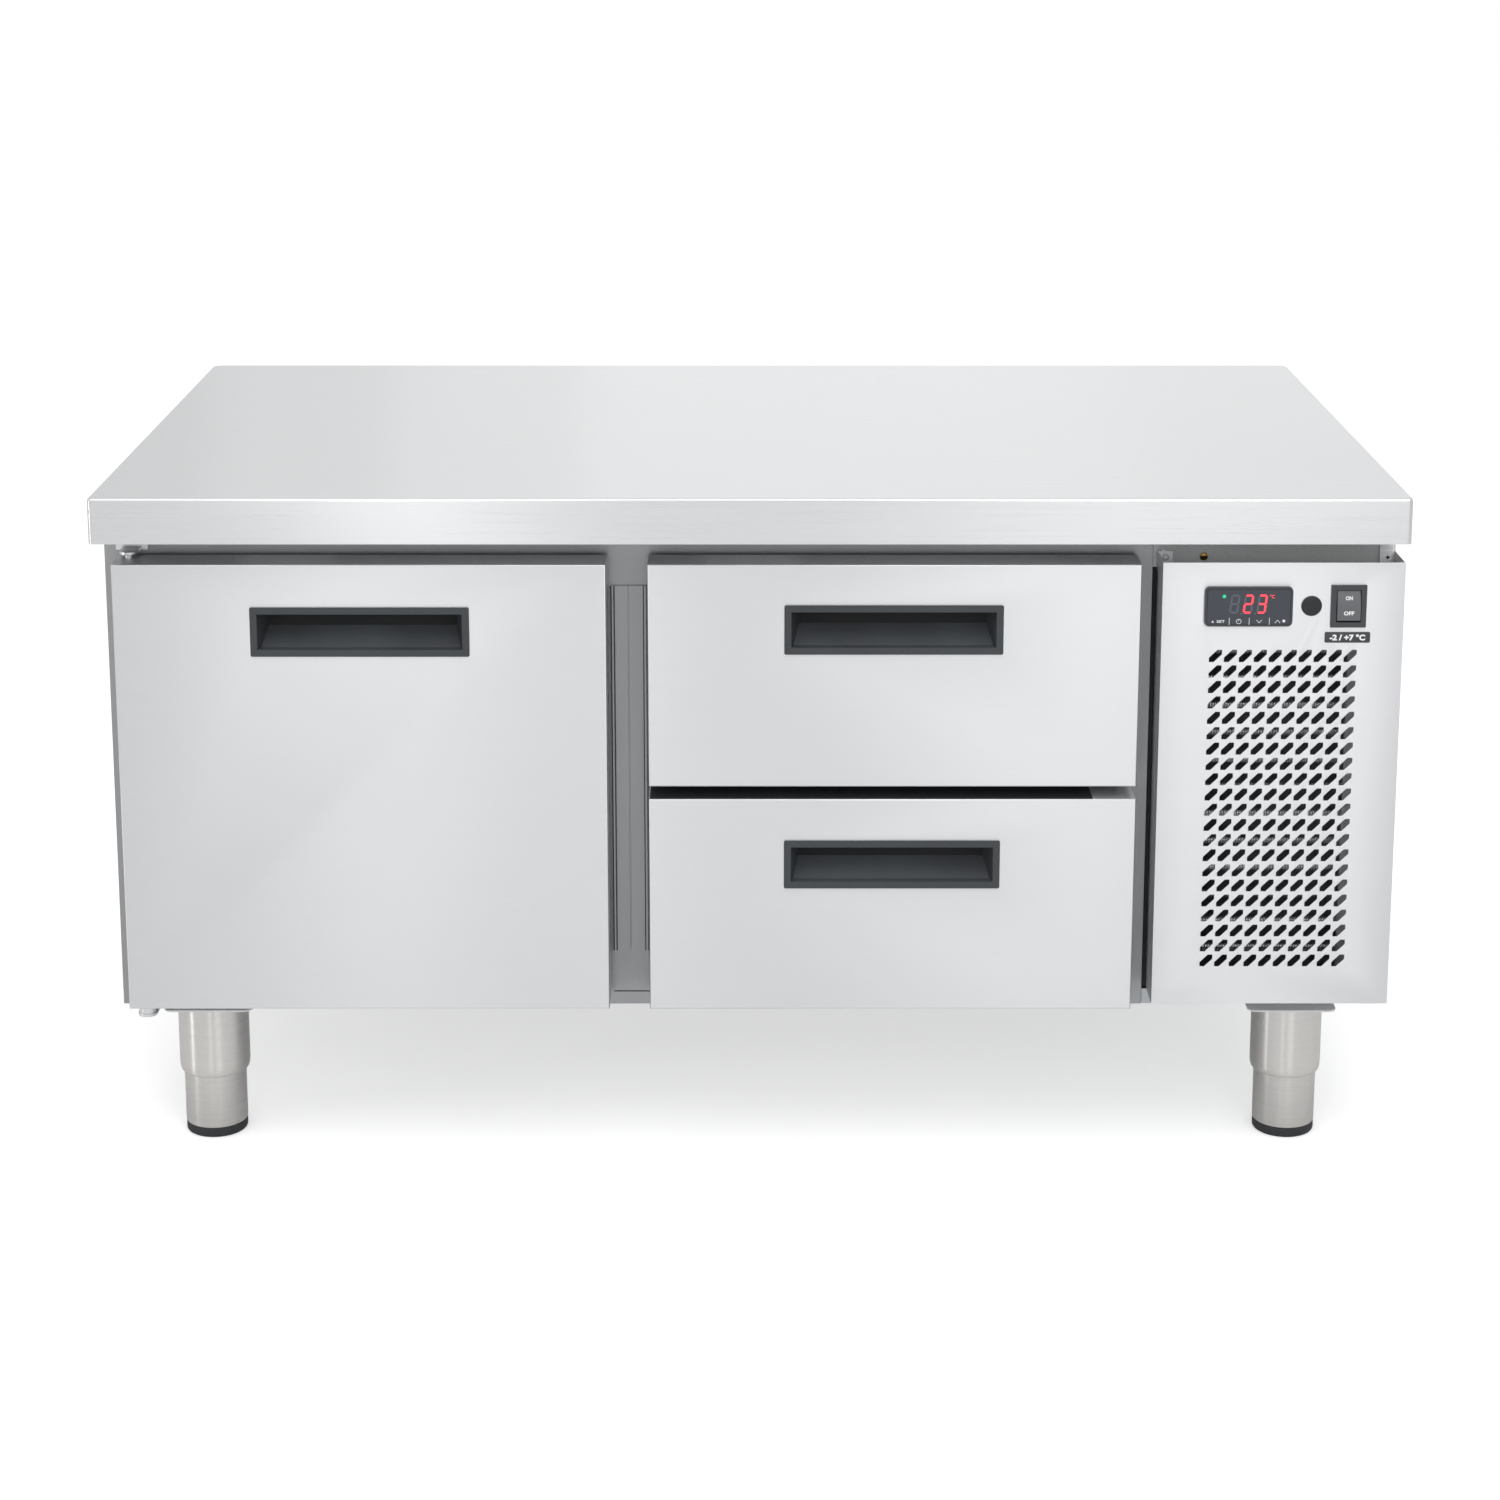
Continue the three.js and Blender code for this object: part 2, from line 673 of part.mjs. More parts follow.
function makeFront(prefix, face, open, handleDrop, bores) {
  const centreX = (face.x0 + face.x1) / 2;
  const centreZ = (face.z0 + face.z1) / 2;
  const front = groupAt(centreX, frontFace, centreZ);
  const halfWidth = (face.x1 - face.x0) / 2;
  const halfHeight = (face.z1 - face.z0) / 2;
  const pull = place(`${prefix}_handle`, pullSolid(), handlePlastic, front);
  pull.position.z = halfHeight - handleDrop - handleHeight / 2;

  const cuts = [pullHole(pull.position.z), ...bores];
  const cutOut = (solid) => cuts.reduce((rest, cut) => rest.subtract(cut), solid);
  const s = frontSheet;
  const hollow = block(
    -halfWidth + s, halfWidth - s, s, frontThickness + cutOver, -halfHeight + s, halfHeight - s);
  place(`${prefix}_skin`, cutOut(foldedSkin(halfWidth, halfHeight).subtract(hollow)), frontSteel, front);

  const g = s + seatGap;
  const core = block(-halfWidth + g, halfWidth - g, g, frontThickness, -halfHeight + g, halfHeight - g);
  const overOpening = (grow, y0, y1) => block(
    open.x0 - centreX - grow, open.x1 - centreX + grow, y0, y1,
    open.z0 - centreZ - grow, open.z1 - centreZ + grow);
  const plug = overOpening(-plugInset, frontThickness - cutOver, frontThickness + plugHeight);
  place(`${prefix}_inner_panel`, cutOut(core.add(plug)), linerSteel, front);

  const sealEnd = frontThickness + gasketThickness;
  const ring = overOpening(gasketInset + gasketWidth, frontThickness + seatGap, sealEnd - seatGap)
    .subtract(overOpening(gasketInset, frontThickness - cutOver, sealEnd + cutOver));
  place(`${prefix}_gasket`, ring, rubber, front);
  return front;
}

const frontBottom = openFloor - frontOverlap;
const frontTop = openCeiling + frontOverlap;
const doorLeft = doorOpenLeft - frontOverlap;
const pivotX = doorLeft + pivotInset;
const pivotY = frontBack - pivotInset;

function makeDoor() {
  const bore = pinRadius + runGap;
  const sink = pinLength + runGap;
  const halfWidth = openingWidth / 2 + frontOverlap;
  const halfHeight = (frontTop - frontBottom) / 2;
  const boreX = -halfWidth + pivotInset;
  const boreY = frontThickness - pivotInset;
  makeFront(
    "door",
    { x0: doorLeft, x1: doorOpenRight + frontOverlap, z0: frontBottom, z1: frontTop },
    { x0: doorOpenLeft, x1: doorOpenRight, z0: openFloor, z1: openCeiling },
    handleTopDrop, [
      barZ(bore, boreX, boreY, halfHeight - sink, halfHeight + cutOver),
      barZ(bore, boreX, boreY, -halfHeight - cutOver, -halfHeight + sink),
    ]);
}

// The two brackets that carry the door's pins, each drawn about the pin's axis
function makeHinges() {
  const tab = bracketTabRadius;
  const toFrame = framePlane - seatGap - pivotY;
  const tabTop = bracketRun + bracketSheet;
  const uprightTop = bodyTop - bracketTopGap - frontTop;
  const upper = joined([
    block(-tab, tab, 0, toFrame, bracketRun, tabTop),
    barZ(tab, 0, 0, bracketRun, tabTop),
    block(-bracketWidth / 2, bracketWidth / 2, toFrame - bracketSheet, toFrame, bracketRun, uprightTop),
    barZ(pinRadius, 0, 0, -pinLength, bracketRun + bracketSheet / 2),
  ]);
  place("hinge_bracket_top", upper, steel, groupAt(pivotX, pivotY, frontTop));

  const plateTop = footHeight - seatGap;
  const toDoor = frontBottom - plateTop;
  const lower = joined([
    block(-tab, tab, 0, framePlane + bracketWidth - pivotY, -bracketSheet, 0),
    barZ(tab, 0, 0, -bracketSheet, 0),
    barZ(pinShoulderRadius, 0, 0, -bracketSheet, toDoor - bracketRun),
    barZ(pinRadius, 0, 0, -bracketSheet, toDoor + pinLength),
  ]);
  place("hinge_bracket_bottom", lower, steel, groupAt(pivotX, pivotY, plateTop));
}

// Telescopic slides: an outer channel on the rack, a middle channel, and a rail on the drawer
const rackFace = seatGap + rackSheet;
const middleHeight = slideHeight - 2 * (slideSheet + runGap);
const railHeight = middleHeight - 2 * (slideSheet + runGap);
const frameSideGap = rackFace + slideDepth + runGap;

// A channel open towards the drawer, drawn from the opening's wall; side is 1 on the left and -1 on the right
function channel(side, start, height, centreZ) {
  const web = side * start;
  const webIn = side * (start + slideSheet);
  const end = side * (rackFace + slideDepth);
  const low = centreZ - height / 2;
  const high = centreZ + height / 2;
  const section = outline([
    [web, low], [end, low], [end, low + slideSheet], [webIn, low + slideSheet],
    [webIn, high - slideSheet], [end, high - slideSheet], [end, high], [web, high],
  ]);
  return deepened(section, 0, slideLength);
}

const lowerSlideZ = openFloor + lowerSlideRise;
const upperSlideZ = upperFloor + upperSlideRise;

function makeSlides() {
  const levels = [["lower", lowerSlideZ - openFloor], ["upper", upperSlideZ - openFloor]];
  for (const [sideName, wallX, side] of [["left", drawerOpenLeft, 1], ["right", drawerOpenRight, -1]]) {
    const set = groupAt(wallX, slideFront, openFloor);
    const [x0, x1] = [side * seatGap, side * rackFace].sort((a, b) => a - b);
    const firstPost = frameBack + postDepth + rackBottomInset - slideFront;
    const posts = [firstPost, slideLength - rackPostWidth].map((y) => block(
      x0, x1, y, y + rackPostWidth, seatGap, openingHeight - rackBottomInset));
    const channels = levels.map(([, z]) => channel(side, rackFace - slideSheet, slideHeight, z));
    place(`slide_rack_${sideName}`, joined([...channels, ...posts]), galvanised, set);
    for (const [level, z] of levels) {
      const middle = channel(side, rackFace + runGap, middleHeight, 0);
      place(`${level}_slide_middle_${sideName}`, middle, galvanised, set).position.z = z;
    }
  }
}

// The frame that carries a pan: a flanged ring with a rail on each side, drawn from its front middle
const drawerFrameFront = frontBack + plugHeight + seatGap;

function drawerFrameSolid() {
  const halfWidth = openingWidth / 2 - frameSideGap;
  const w = panFrameWall;
  const depth = panLength + 2 * (panPlay + w);
  const holeHalf = halfWidth - frameLedge;
  const low = -panFrameFall - cutOver;
  const ring = block(-halfWidth, halfWidth, 0, depth, -panFrameFall, panFrameRise)
    .subtract(block(-halfWidth + w, halfWidth - w, w, depth - w, low, panFrameRise - w))
    .subtract(block(-holeHalf, holeHalf, w + panRim, depth - w - panRim, low, panFrameRise + cutOver));
  const railOut = openingWidth / 2 - rackFace - slideSheet - 2 * runGap;
  const railIn = halfWidth - w / 2;
  const railSpan = [slideFront - drawerFrameFront, depth, -railHeight / 2, railHeight / 2];
  return joined([ring, block(-railOut, -railIn, ...railSpan), block(railIn, railOut, ...railSpan)]);
}

function makeDrawer(prefix, z0, z1, openZ0, openZ1, handleDrop, slideZ) {
  const drawer = makeFront(
    prefix,
    { x0: drawerOpenLeft - frontOverlap, x1: drawerOpenRight + frontOverlap, z0, z1 },
    { x0: drawerOpenLeft, x1: drawerOpenRight, z0: openZ0, z1: openZ1 },
    handleDrop, []);
  place(`${prefix}_frame`, drawerFrameSolid(), linerSteel, drawer)
    .position.set(0, drawerFrameFront - frontFace, slideZ - drawer.position.z);
}

function makeDrawers() {
  const joint = crossRailCentre;
  makeDrawer(
    "upper_drawer", joint + drawerGap / 2, frontTop, upperFloor, openCeiling, upperHandleDrop, upperSlideZ);
  makeDrawer(
    "lower_drawer", frontBottom, joint - drawerGap / 2, openFloor, lowerCeiling, handleTopDrop, lowerSlideZ);
}

// Wire shelf in the door compartment
function makeShelf() {
  const x0 = doorOpenLeft + shelfPlay;
  const x1 = doorOpenRight - shelfPlay;
  const y0 = frameBack + shelfFrontInset;
  const y1 = linerBack - shelfPlay;
  const z = openFloor + shelfRise + seatGap + shelfFrameWire;
  const frameWire = shelfFrameWire;
  const sides = lineSides;
  const wireSides = sides - 2;
  const bars = [
    barX(frameWire, y0 + frameWire, z, x0, x1, sides),
    barX(frameWire, y1 - frameWire, z, x0, x1, sides),
    barY(frameWire, x0 + frameWire, z, y0, y1, sides),
    barY(frameWire, x1 - frameWire, z, y0, y1, sides),
  ];
  const pitch = (x1 - x0 - 2 * frameWire) / (shelfCount + 1);
  for (let i = 1; i <= shelfCount; i += 1) {
    bars.push(barY(shelfWire, x0 + frameWire + i * pitch, z, y0 + frameWire, y1 - frameWire, wireSides));
  }
  place("wire_shelf", joined(bars), wireSteel);
}

// Finned block: a comb with fins to both sides of a web, drawn in plan and risen
function finComb(length, depth, pitch, fin, cut) {
  const count = Math.floor(length / pitch);
  const step = (length - fin) / count;
  const half = depth / 2;
  const points = [];
  for (let i = 0; i <= count; i += 1) {
    const a = i * step;
    points.push([a, -half], [a + fin, -half]);
    if (i < count) {
      points.push([a + fin, -half + cut], [a + step, -half + cut]);
    }
  }
  for (let i = count; i >= 0; i -= 1) {
    const a = i * step;
    points.push([a + fin, half], [a, half]);
    if (i > 0) {
      points.push([a, half - cut], [a - step + fin, half - cut]);
    }
  }
  return points;
}

// A fan drawn about the origin, with its axis along Z and its shaft reaching back along +Z
function fanSolid(tip, hub, depth, shaft, shaftBack) {
  const hubGeometry = new THREE.CylinderGeometry(hub, hub, depth, roundSides);
  hubGeometry.rotateX(Math.PI / 2);
  const shaftGeometry = new THREE.CylinderGeometry(shaft, shaft, shaftBack, roundSides);
  shaftGeometry.rotateX(Math.PI / 2);
  shaftGeometry.translate(0, 0, shaftBack / 2);
  const parts = [hubGeometry, shaftGeometry];
  const pitchAngle = Math.asin((depth / 2 - bladeThickness) / (tip * Math.sin(bladeSweepShare)));
  const root = hub * Math.cos(Math.PI / fanBlades);
  const halfTip = tip * bladeSweepShare;
  const blade = new THREE.Shape();
  blade.moveTo(root, -hub / 2);
  blade.quadraticCurveTo(
    (root + tip) / 2, -halfTip, tip * Math.cos(bladeSweepShare), -halfTip * Math.cos(bladeSweepShare));
  blade.absarc(0, 0, tip, -bladeSweepShare, bladeSweepShare, false);
  blade.quadraticCurveTo((root + tip) / 2, halfTip / 2, root, hub / 2);
  for (let i = 0; i < fanBlades; i += 1) {
    const geometry = new THREE.ExtrudeGeometry(blade, {
      depth: bladeThickness, bevelEnabled: false, curveSegments: edgeSteps,
    });
    geometry.translate(0, 0, -bladeThickness / 2);
    geometry.rotateX(pitchAngle);
    geometry.rotateZ(i * 2 * Math.PI / fanBlades);
    parts.push(geometry);
  }
  return joined(parts.map(solidOf));
}

// Evaporator column: a duct behind the centre post with coil, fan and motor
const columnFront = frameBack + postDepth + seatGap;
const columnBack = linerBack - seatGap;
const columnLeft = doorOpenRight;
const columnRight = drawerOpenLeft;
const coilY1 = columnBack - columnSheet - coilBackGap;
const coilY0 = coilY1 - columnCoilDepth;
const evapFanY = framePlane + evapFanSetback;
const evapFanZ = openCeiling - evapFanDrop;
const evapFanX = columnLeft + columnSheet + evapFanDepth / 2 + slideSheet;

function makeEvaporator() {
  const t = columnSheet;
  const z0 = openFloor + seatGap;
  const z1 = openCeiling - seatGap;
  const sideVents = [];
  for (let i = 0; i < columnVentCount; i += 1) {
    const z = openFloor + coilBottomRise + (i + 0.5) * coilHeight / columnVentCount;
    sideVents.push(block(
      columnLeft - cutOver, columnRight + cutOver, (coilY0 + coilY1 - columnVentLength) / 2,
      (coilY0 + coilY1 + columnVentLength) / 2, z, z + columnVentHeight));
  }
  const duct = block(columnLeft, columnRight, columnFront, columnBack, z0, z1)
    .subtract(block(
      columnLeft + t, columnRight - t, columnFront + t, columnBack - t, z0 - cutOver, z1 + cutOver));
  const ledgeTop = openFloor + shelfRise;
  const ledge = block(
    columnLeft - ledgeDepth, columnLeft + t, columnFront + ledgeHeight, columnBack - shelfPlay,
    ledgeTop - ledgeHeight, ledgeTop);
  const cuts = [
    ...sideVents,
    barX(
      evapFanRadius + fanTip, evapFanY, evapFanZ, columnLeft - cutOver, columnLeft + t + cutOver, fineSides),
    barX(sleeveRadius + portClearance, portY, portZ, columnRight - t - cutOver, columnRight + cutOver),
  ];
  const fanClear = block(
    columnLeft - ledgeDepth - cutOver, columnLeft, evapFanY - evapFanRadius - fanTip,
    evapFanY + evapFanRadius + fanTip, evapFanZ - evapFanRadius - fanTip, evapFanZ + evapFanRadius + fanTip);
  const ledgeFree = ledge.subtract(fanClear);
  const cover = cuts.reduce((solid, cut) => solid.subtract(cut), duct.add(ledgeFree));
  place("evaporator_cover", cover, linerSteel);

  const coilX0 = columnLeft + t + coilSideGap;
  const coilX1 = columnRight - t - coilSideGap;
  const comb = finComb(
    columnCoilDepth - 2 * coilEndPlate, coilX1 - coilX0, coilFinPitch, coilFin, coilFinCut);
  const middleX = (coilX0 + coilX1) / 2;
  const coilZ0 = openFloor + coilBottomRise;
  const fins = risen(
    outline(comb.map(([a, b]) => [middleX - b, coilY0 + coilEndPlate + a])), coilZ0, coilZ0 + coilHeight);
  const plates = [coilY0, coilY1 - coilEndPlate].map((y) => block(
    coilX0, coilX1, y, y + coilEndPlate + seatGap, openFloor + seatGap, coilZ0 + coilHeight));
  const spigot = piped([
    [middleX, coilY1 - coilEndPlate, coilZ0 + sleeveRadius * 2],
    [middleX, portY, coilZ0 + sleeveRadius * 2 - lineRadius],
    [middleX + lineRadius, portY, portZ + sleeveRadius],
    [middleX + sleeveRadius * 2, portY, portZ],
    [middleX + sleeveRadius * 3, portY, portZ],
  ], lineRadius, routeSteps / 2);
  place("evaporator_coil", joined([fins, ...plates, spigot]), aluminium);
}

// The evaporator's fan and motor, drawn about the fan's middle with the axis along X
function makeEvaporatorFan() {
  const set = groupAt(evapFanX, evapFanY, evapFanZ);
  const motorStart = evapFanDepth / 2 + columnSheet;
  const motorEnd = motorStart + evapMotorLength;
  const shaftReach = evapFanDepth / 2 + evapMotorLength / 2;
  place("evaporator_fan",
    fanSolid(evapFanRadius, evapFanHub, evapFanDepth, motorShaftRadius, shaftReach), blackPlastic, set)
    .rotation.y = Math.PI / 2;

  const wall = columnRight - columnSheet - seatGap - evapFanX;
  const shaftBore = motorShaftRadius + portClearance;
  const arm = (x0, reach) => block(x0 - evapArmThickness, wall, -evapArmWidth, evapArmWidth, -reach, reach);
  const motor = joined([
    barX(evapMotorRadius, 0, 0, motorStart, motorEnd),
    arm(motorEnd, evapMotorRadius),
    arm(wall, 2 * evapMotorRadius),
  ]).subtract(barX(shaftBore, 0, 0, motorStart - cutOver, shaftReach + runGap));
  place("evaporator_fan_motor", motor, blackPaint, set);
}

// Machine compartment sheets
const machineX0 = boxRight + seatGap;
const machineX1 = bodyRight - panelSheet - seatGap;
const machineFront = framePlane + panelSheet + seatGap;

function makeMachineSheets() {
  const t = panelSheet;
  const innerBack = bodyBack - t - seatGap;
  const tray = block(machineX0, machineX1, machineFront, innerBack, footHeight, footHeight + machineLip)
    .subtract(block(
      machineX0 + t, machineX1 - t, machineFront + t, innerBack - t,
      machineFloor, footHeight + machineLip + cutOver));
  place("machine_base", tray, galvanised);

  const side = block(bodyRight - machineLip, bodyRight, framePlane, bodyBack, footHeight, bodyTop)
    .subtract(block(
      bodyRight - machineLip - cutOver, bodyRight - t, framePlane + t, bodyBack + cutOver,
      footHeight - cutOver, bodyTop + cutOver));
  place("machine_side_panel", side, steel);

  const vents = [];
  for (let i = 0; i < backVentCount; i += 1) {
    const z = footHeight + backVentRise + i * backVentPitch;
    vents.push(block(
      boxRight + backVentSideInset, bodyRight - backVentSideInset, bodyBack - t - cutOver, bodyBack + cutOver,
      z, z + backVentHeight));
  }
  const backPanel = block(machineX0, machineX1, bodyBack - t, bodyBack, footHeight, bodyTop);
  place("machine_back_panel", vents.reduce((solid, cut) => solid.subtract(cut), backPanel), steel);

  const rail = block(machineX0, machineX1, machineFront, innerBack, bodyTop - topRailFall, bodyTop)
    .subtract(block(
      machineX0 - cutOver, machineX1 + cutOver, machineFront + t, innerBack + cutOver,
      bodyTop - topRailFall - cutOver, bodyTop - t));
  place("machine_top_rail", rail, darkSteel);
}

// Slotted front panel with cut-outs for the controller and the switch
const panelX0 = boxRight + machinePanelGap;
const panelX1 = bodyRight;
const panelFace = framePlane - machinePanelDepth;
const machinePanelTop = bodyTop - machinePanelTopGap;
const machinePanelBottom = footHeight + machinePanelFootGap;
const slotFieldWidth = panelX1 - panelX0 - slotFirstX - slotSideClear;
const slotFieldHeight = machinePanelTop - machinePanelBottom - slotFirstZ - slotTopClear;
const slotColumns = 1 + Math.floor(slotFieldWidth / slotPitchX);
const slotRows = 1 + Math.floor(slotFieldHeight / slotPitchZ);
const controlZ = machinePanelTop - controlDrop;
const controlMargin = (panelX1 - panelX0 - bezelWidth - switchWidth) / 3;
const controllerX = panelX0 + controlMargin + bezelWidth / 2 + controllerShift;
const switchX = panelX1 - controlMargin - switchWidth / 2 + switchShift;

function slotCutter(x, z) {
  const radius = slotWidth / 2;
  const reach = (slotLength - slotWidth) / 2;
  const points = [];
  for (const end of [0, Math.PI]) {
    for (let i = 0; i <= slotEndSteps; i += 1) {
      const angle = slotLean + end - Math.PI / 2 + i * Math.PI / slotEndSteps;
      points.push([
        x + reach * Math.cos(slotLean + end) + radius * Math.cos(angle),
        z + reach * Math.sin(slotLean + end) + radius * Math.sin(angle)]);
    }
  }
  return deepened(outline(points), panelFace - cutOver, panelFace + panelSheet + cutOver);
}

function controlCutter(centreX, width, height) {
  const halfW = width / 2 + seatGap;
  const halfH = height / 2 + seatGap;
  return block(
    centreX - halfW, centreX + halfW, panelFace - cutOver, panelFace + panelSheet + cutOver,
    controlZ - halfH, controlZ + halfH);
}

function makeMachineFront() {
  const t = panelSheet;
  const cutters = [
    controlCutter(controllerX, controllerBodyWidth, controllerBodyHeight),
    controlCutter(switchX, switchBodyWidth, switchBodyHeight),
  ];
  for (let row = 0; row < slotRows; row += 1) {
    for (let column = 0; column < slotColumns; column += 1) {
      cutters.push(slotCutter(
        panelX0 + slotFirstX + column * slotPitchX, machinePanelBottom + slotFirstZ + row * slotPitchZ));
    }
  }
  const back = framePlane - seatGap;
  const panel = block(panelX0, panelX1, panelFace, back, machinePanelBottom, machinePanelTop)
    .subtract(block(
      panelX0 + t, panelX1 - t, panelFace + t, back - t, machinePanelBottom + t, machinePanelTop + cutOver))
    .subtract(block(
      panelX0 + machineLip, panelX1 - machineLip, back - t - cutOver, back + cutOver,
      machinePanelBottom + t, machinePanelTop + cutOver));
  place("machine_front_panel", panel.subtract(joined(cutters)), frontSteel);
}

// Controller and switch, each drawn about its middle on the panel's face
function makeControls() {
  const controller = groupAt(controllerX, panelFace, controlZ);
  const halfW = bezelWidth / 2;
  const halfH = bezelHeight / 2;
  const shrunk = (inset, radius) => roundedRect(
    -halfW + inset, halfW - inset, -halfH + inset, halfH - inset, radius);
  const innerRadius = bezelRadius - bezelBorder;
  const paneBack = windowThickness - windowProud - bezelProud;
  const body = block(
    -controllerBodyWidth / 2, controllerBodyWidth / 2, -2 * seatGap, controllerBodyDepth,
    -controllerBodyHeight / 2, controllerBodyHeight / 2);
  const housing = deepened(shrunk(0, bezelRadius), -bezelProud, -seatGap)
    .subtract(deepened(shrunk(bezelBorder, innerRadius), -bezelProud - cutOver, paneBack + seatGap))
    .add(body);
  place("controller_housing", housing, blackPlastic, controller);
  const pane = deepened(shrunk(bezelBorder + seatGap, innerRadius), -bezelProud - windowProud, paneBack);
  place("controller_window", pane, windowPlastic, controller);

  const rocker = groupAt(switchX, panelFace, controlZ);
  const rim = block(
    -switchWidth / 2, switchWidth / 2, -switchProud, -seatGap, -switchHeight / 2, switchHeight / 2);
  const box = block(
    -switchBodyWidth / 2, switchBodyWidth / 2, -2 * seatGap, switchBodyDepth,
    -switchBodyHeight / 2, switchBodyHeight / 2);
  const wellHalfW = rockerWidth / 2 + runGap;
  const wellHalfH = rockerHeight / 2 + runGap;
  const well = block(-wellHalfW, wellHalfW, -switchProud - cutOver, rockerPocket, -wellHalfH, wellHalfH);
  place("switch_frame", joined([rim, box]).subtract(well), blackPlastic, rocker);

  // The rocker's section about its pivot: two faces that meet on a crown, over a shallow keel
  const half = rockerHeight / 2 * Math.cos(rockerThrow) - runGap;
  const crown = -rockerProud - rockerPivotDepth;
  const keel = rockerPocket - rockerPivotDepth - runGap - switchProud;
  const fall = half * Math.tan(rockerThrow);
  const section = outline([
    [crown + fall, half], [crown, 0], [crown + fall, -half], [fall, -half], [keel, 0], [fall, half],
  ]);
  const paddle = place(
    "switch_rocker", spanned(section, -rockerWidth / 2, rockerWidth / 2), blackPlastic, rocker);
  paddle.position.y = rockerPivotDepth - switchProud;
  paddle.rotation.x = -rockerThrow;
}

// Condenser with tube bends, shroud, fan and motor
const condX0 = boxRight + condenserLeftInset;
const condX1 = condX0 + 2 * endPlate + condenserWidth;
const condY0 = machineFront + panelSheet + condenserSetback + endPlateOver;
const condY1 = condY0 + condenserDepth;
const condZ0 = machineFloor + condenserRise;
const condZ1 = bodyTop - topRailFall - condenserTopClear;
const condenserHeight = condZ1 - condZ0;
const condMidY = (condY0 + condY1) / 2;
const tubePitch = 2 * bendRadius;
const tubeRows = Math.floor(condenserHeight / tubePitch / 2) * 2;
const firstTubeZ = (condZ0 + condZ1 - (tubeRows - 1) * tubePitch) / 2;
const fanX = (condX0 + condX1) / 2;
const fanZ = (condZ0 + condZ1) / 2;
const stubLength = tubeRadius * 3;
const stubEnd = condX1 + stubLength;

function tubeBend(x, z, side) {
  const points = [];
  for (let i = 0; i <= edgeSteps * 2; i += 1) {
    const angle = -Math.PI / 2 + i * Math.PI / (edgeSteps * 2);
    points.push(new THREE.Vector3(
      x + side * (Math.cos(angle) * bendRadius), condMidY, z + Math.sin(angle) * bendRadius));
  }
  points[0].x -= side * seatGap;
  points[points.length - 1].x -= side * seatGap;
  return solidOf(new THREE.ExtrudeGeometry(roundSection(tubeRadius, lineSides), {
    steps: edgeSteps * 2, bevelEnabled: false, extrudePath: new THREE.CatmullRomCurve3(points),
  }));
}

function makeCondenser() {
  const comb = finComb(condenserWidth, condenserDepth, finPitch, finThickness, finCut);
  const fins = risen(
    outline(comb.map(([a, b]) => [condX0 + endPlate + a, condMidY + b])), condZ0, condZ1);
  const plates = [condX0, condX1 - endPlate].map((x) => block(
    x, x + endPlate, condY0 - endPlateOver, condY1, machineFloor + seatGap, condZ1 + endPlateOver));
  const flangeSpan = [
    condY0 - endPlateOver + seatGap, condY1 - seatGap,
    machineFloor + seatGap, machineFloor + seatGap + endPlate,
  ];
  const flanges = [
    block(condX0 + endPlate / 2, condX0 + condenserFoot, ...flangeSpan),
    block(condX1 - condenserFoot, condX1 - endPlate / 2, ...flangeSpan),
  ];
  const bends = [];
  for (let i = 0; i + 1 < tubeRows; i += 1) {
    const z = firstTubeZ + (i + 0.5) * tubePitch;
    bends.push(i % 2 === 0 ? tubeBend(condX0, z, -1) : tubeBend(condX1, z, 1));
  }
  const stubs = [firstTubeZ, firstTubeZ + (tubeRows - 1) * tubePitch].map(
    (z) => barX(tubeRadius, condMidY, z, condX1 - seatGap, stubEnd, lineSides));
  place("condenser", joined([fins, ...plates, ...flanges, ...bends, ...stubs]), aluminium);
}

const shroudY0 = condY1 + seatGap;
const fanRingDepth = fanDepth - fanTip + 2 * fanEndGap;
const collarEnd = shroudDepth + fanRingDepth;
const motorFace = collarEnd + seatGap + motorArmThickness;

// Shroud, fan and motor, drawn from the shroud's front on the fan's axis
function makeFanSet() {
  const set = groupAt(fanX, shroudY0, fanZ);
  const t = shroudSheet;
  const mouth = fanRadius + fanTip;
  const halfWidth = (condX1 - condX0) / 2;
  const halfHeight = condenserHeight / 2;
  const hood = block(-halfWidth, halfWidth, 0, shroudDepth, -halfHeight, halfHeight)
    .subtract(block(
      -halfWidth + t, halfWidth - t, -cutOver, shroudDepth - t, -halfHeight + t, halfHeight - t))
    .add(barY(mouth + t, 0, 0, shroudDepth - t, collarEnd, fineSides))
    .subtract(barY(mouth, 0, 0, shroudDepth - t - cutOver, collarEnd + cutOver, fineSides));
  place("condenser_shroud", hood, blackPaint, set);

  const fanMiddle = shroudDepth + fanRingDepth / 2;
  const shaftReach = motorFace - fanMiddle + motorLength / 2;
  const fan = place("condenser_fan",
    fanSolid(fanRadius, fanHub, fanDepth - fanTip, motorShaftRadius, shaftReach), aluminium, set);
  fan.position.y = fanMiddle;
  fan.rotation.x = -Math.PI / 2;

  const arms = [];
  for (let i = 0; i < motorArms; i += 1) {
    const arm = new THREE.BoxGeometry(mouth + t, motorArmThickness, motorArmWidth);
    arm.translate((mouth + t) / 2, 0, 0);
    arm.rotateY(Math.PI / 2 + i * 2 * Math.PI / motorArms);
    arm.translate(0, motorFace - motorArmThickness / 2, 0);
    arms.push(solidOf(arm));
  }
  const can = barY(motorRadius, 0, 0, collarEnd + seatGap, motorFace + motorLength);
  const bore = barY(
    motorShaftRadius + portClearance, 0, 0, collarEnd - cutOver, fanMiddle + shaftReach + runGap);
  place("condenser_fan_motor", joined([can, ...arms]).subtract(bore), blackPaint, set);
}

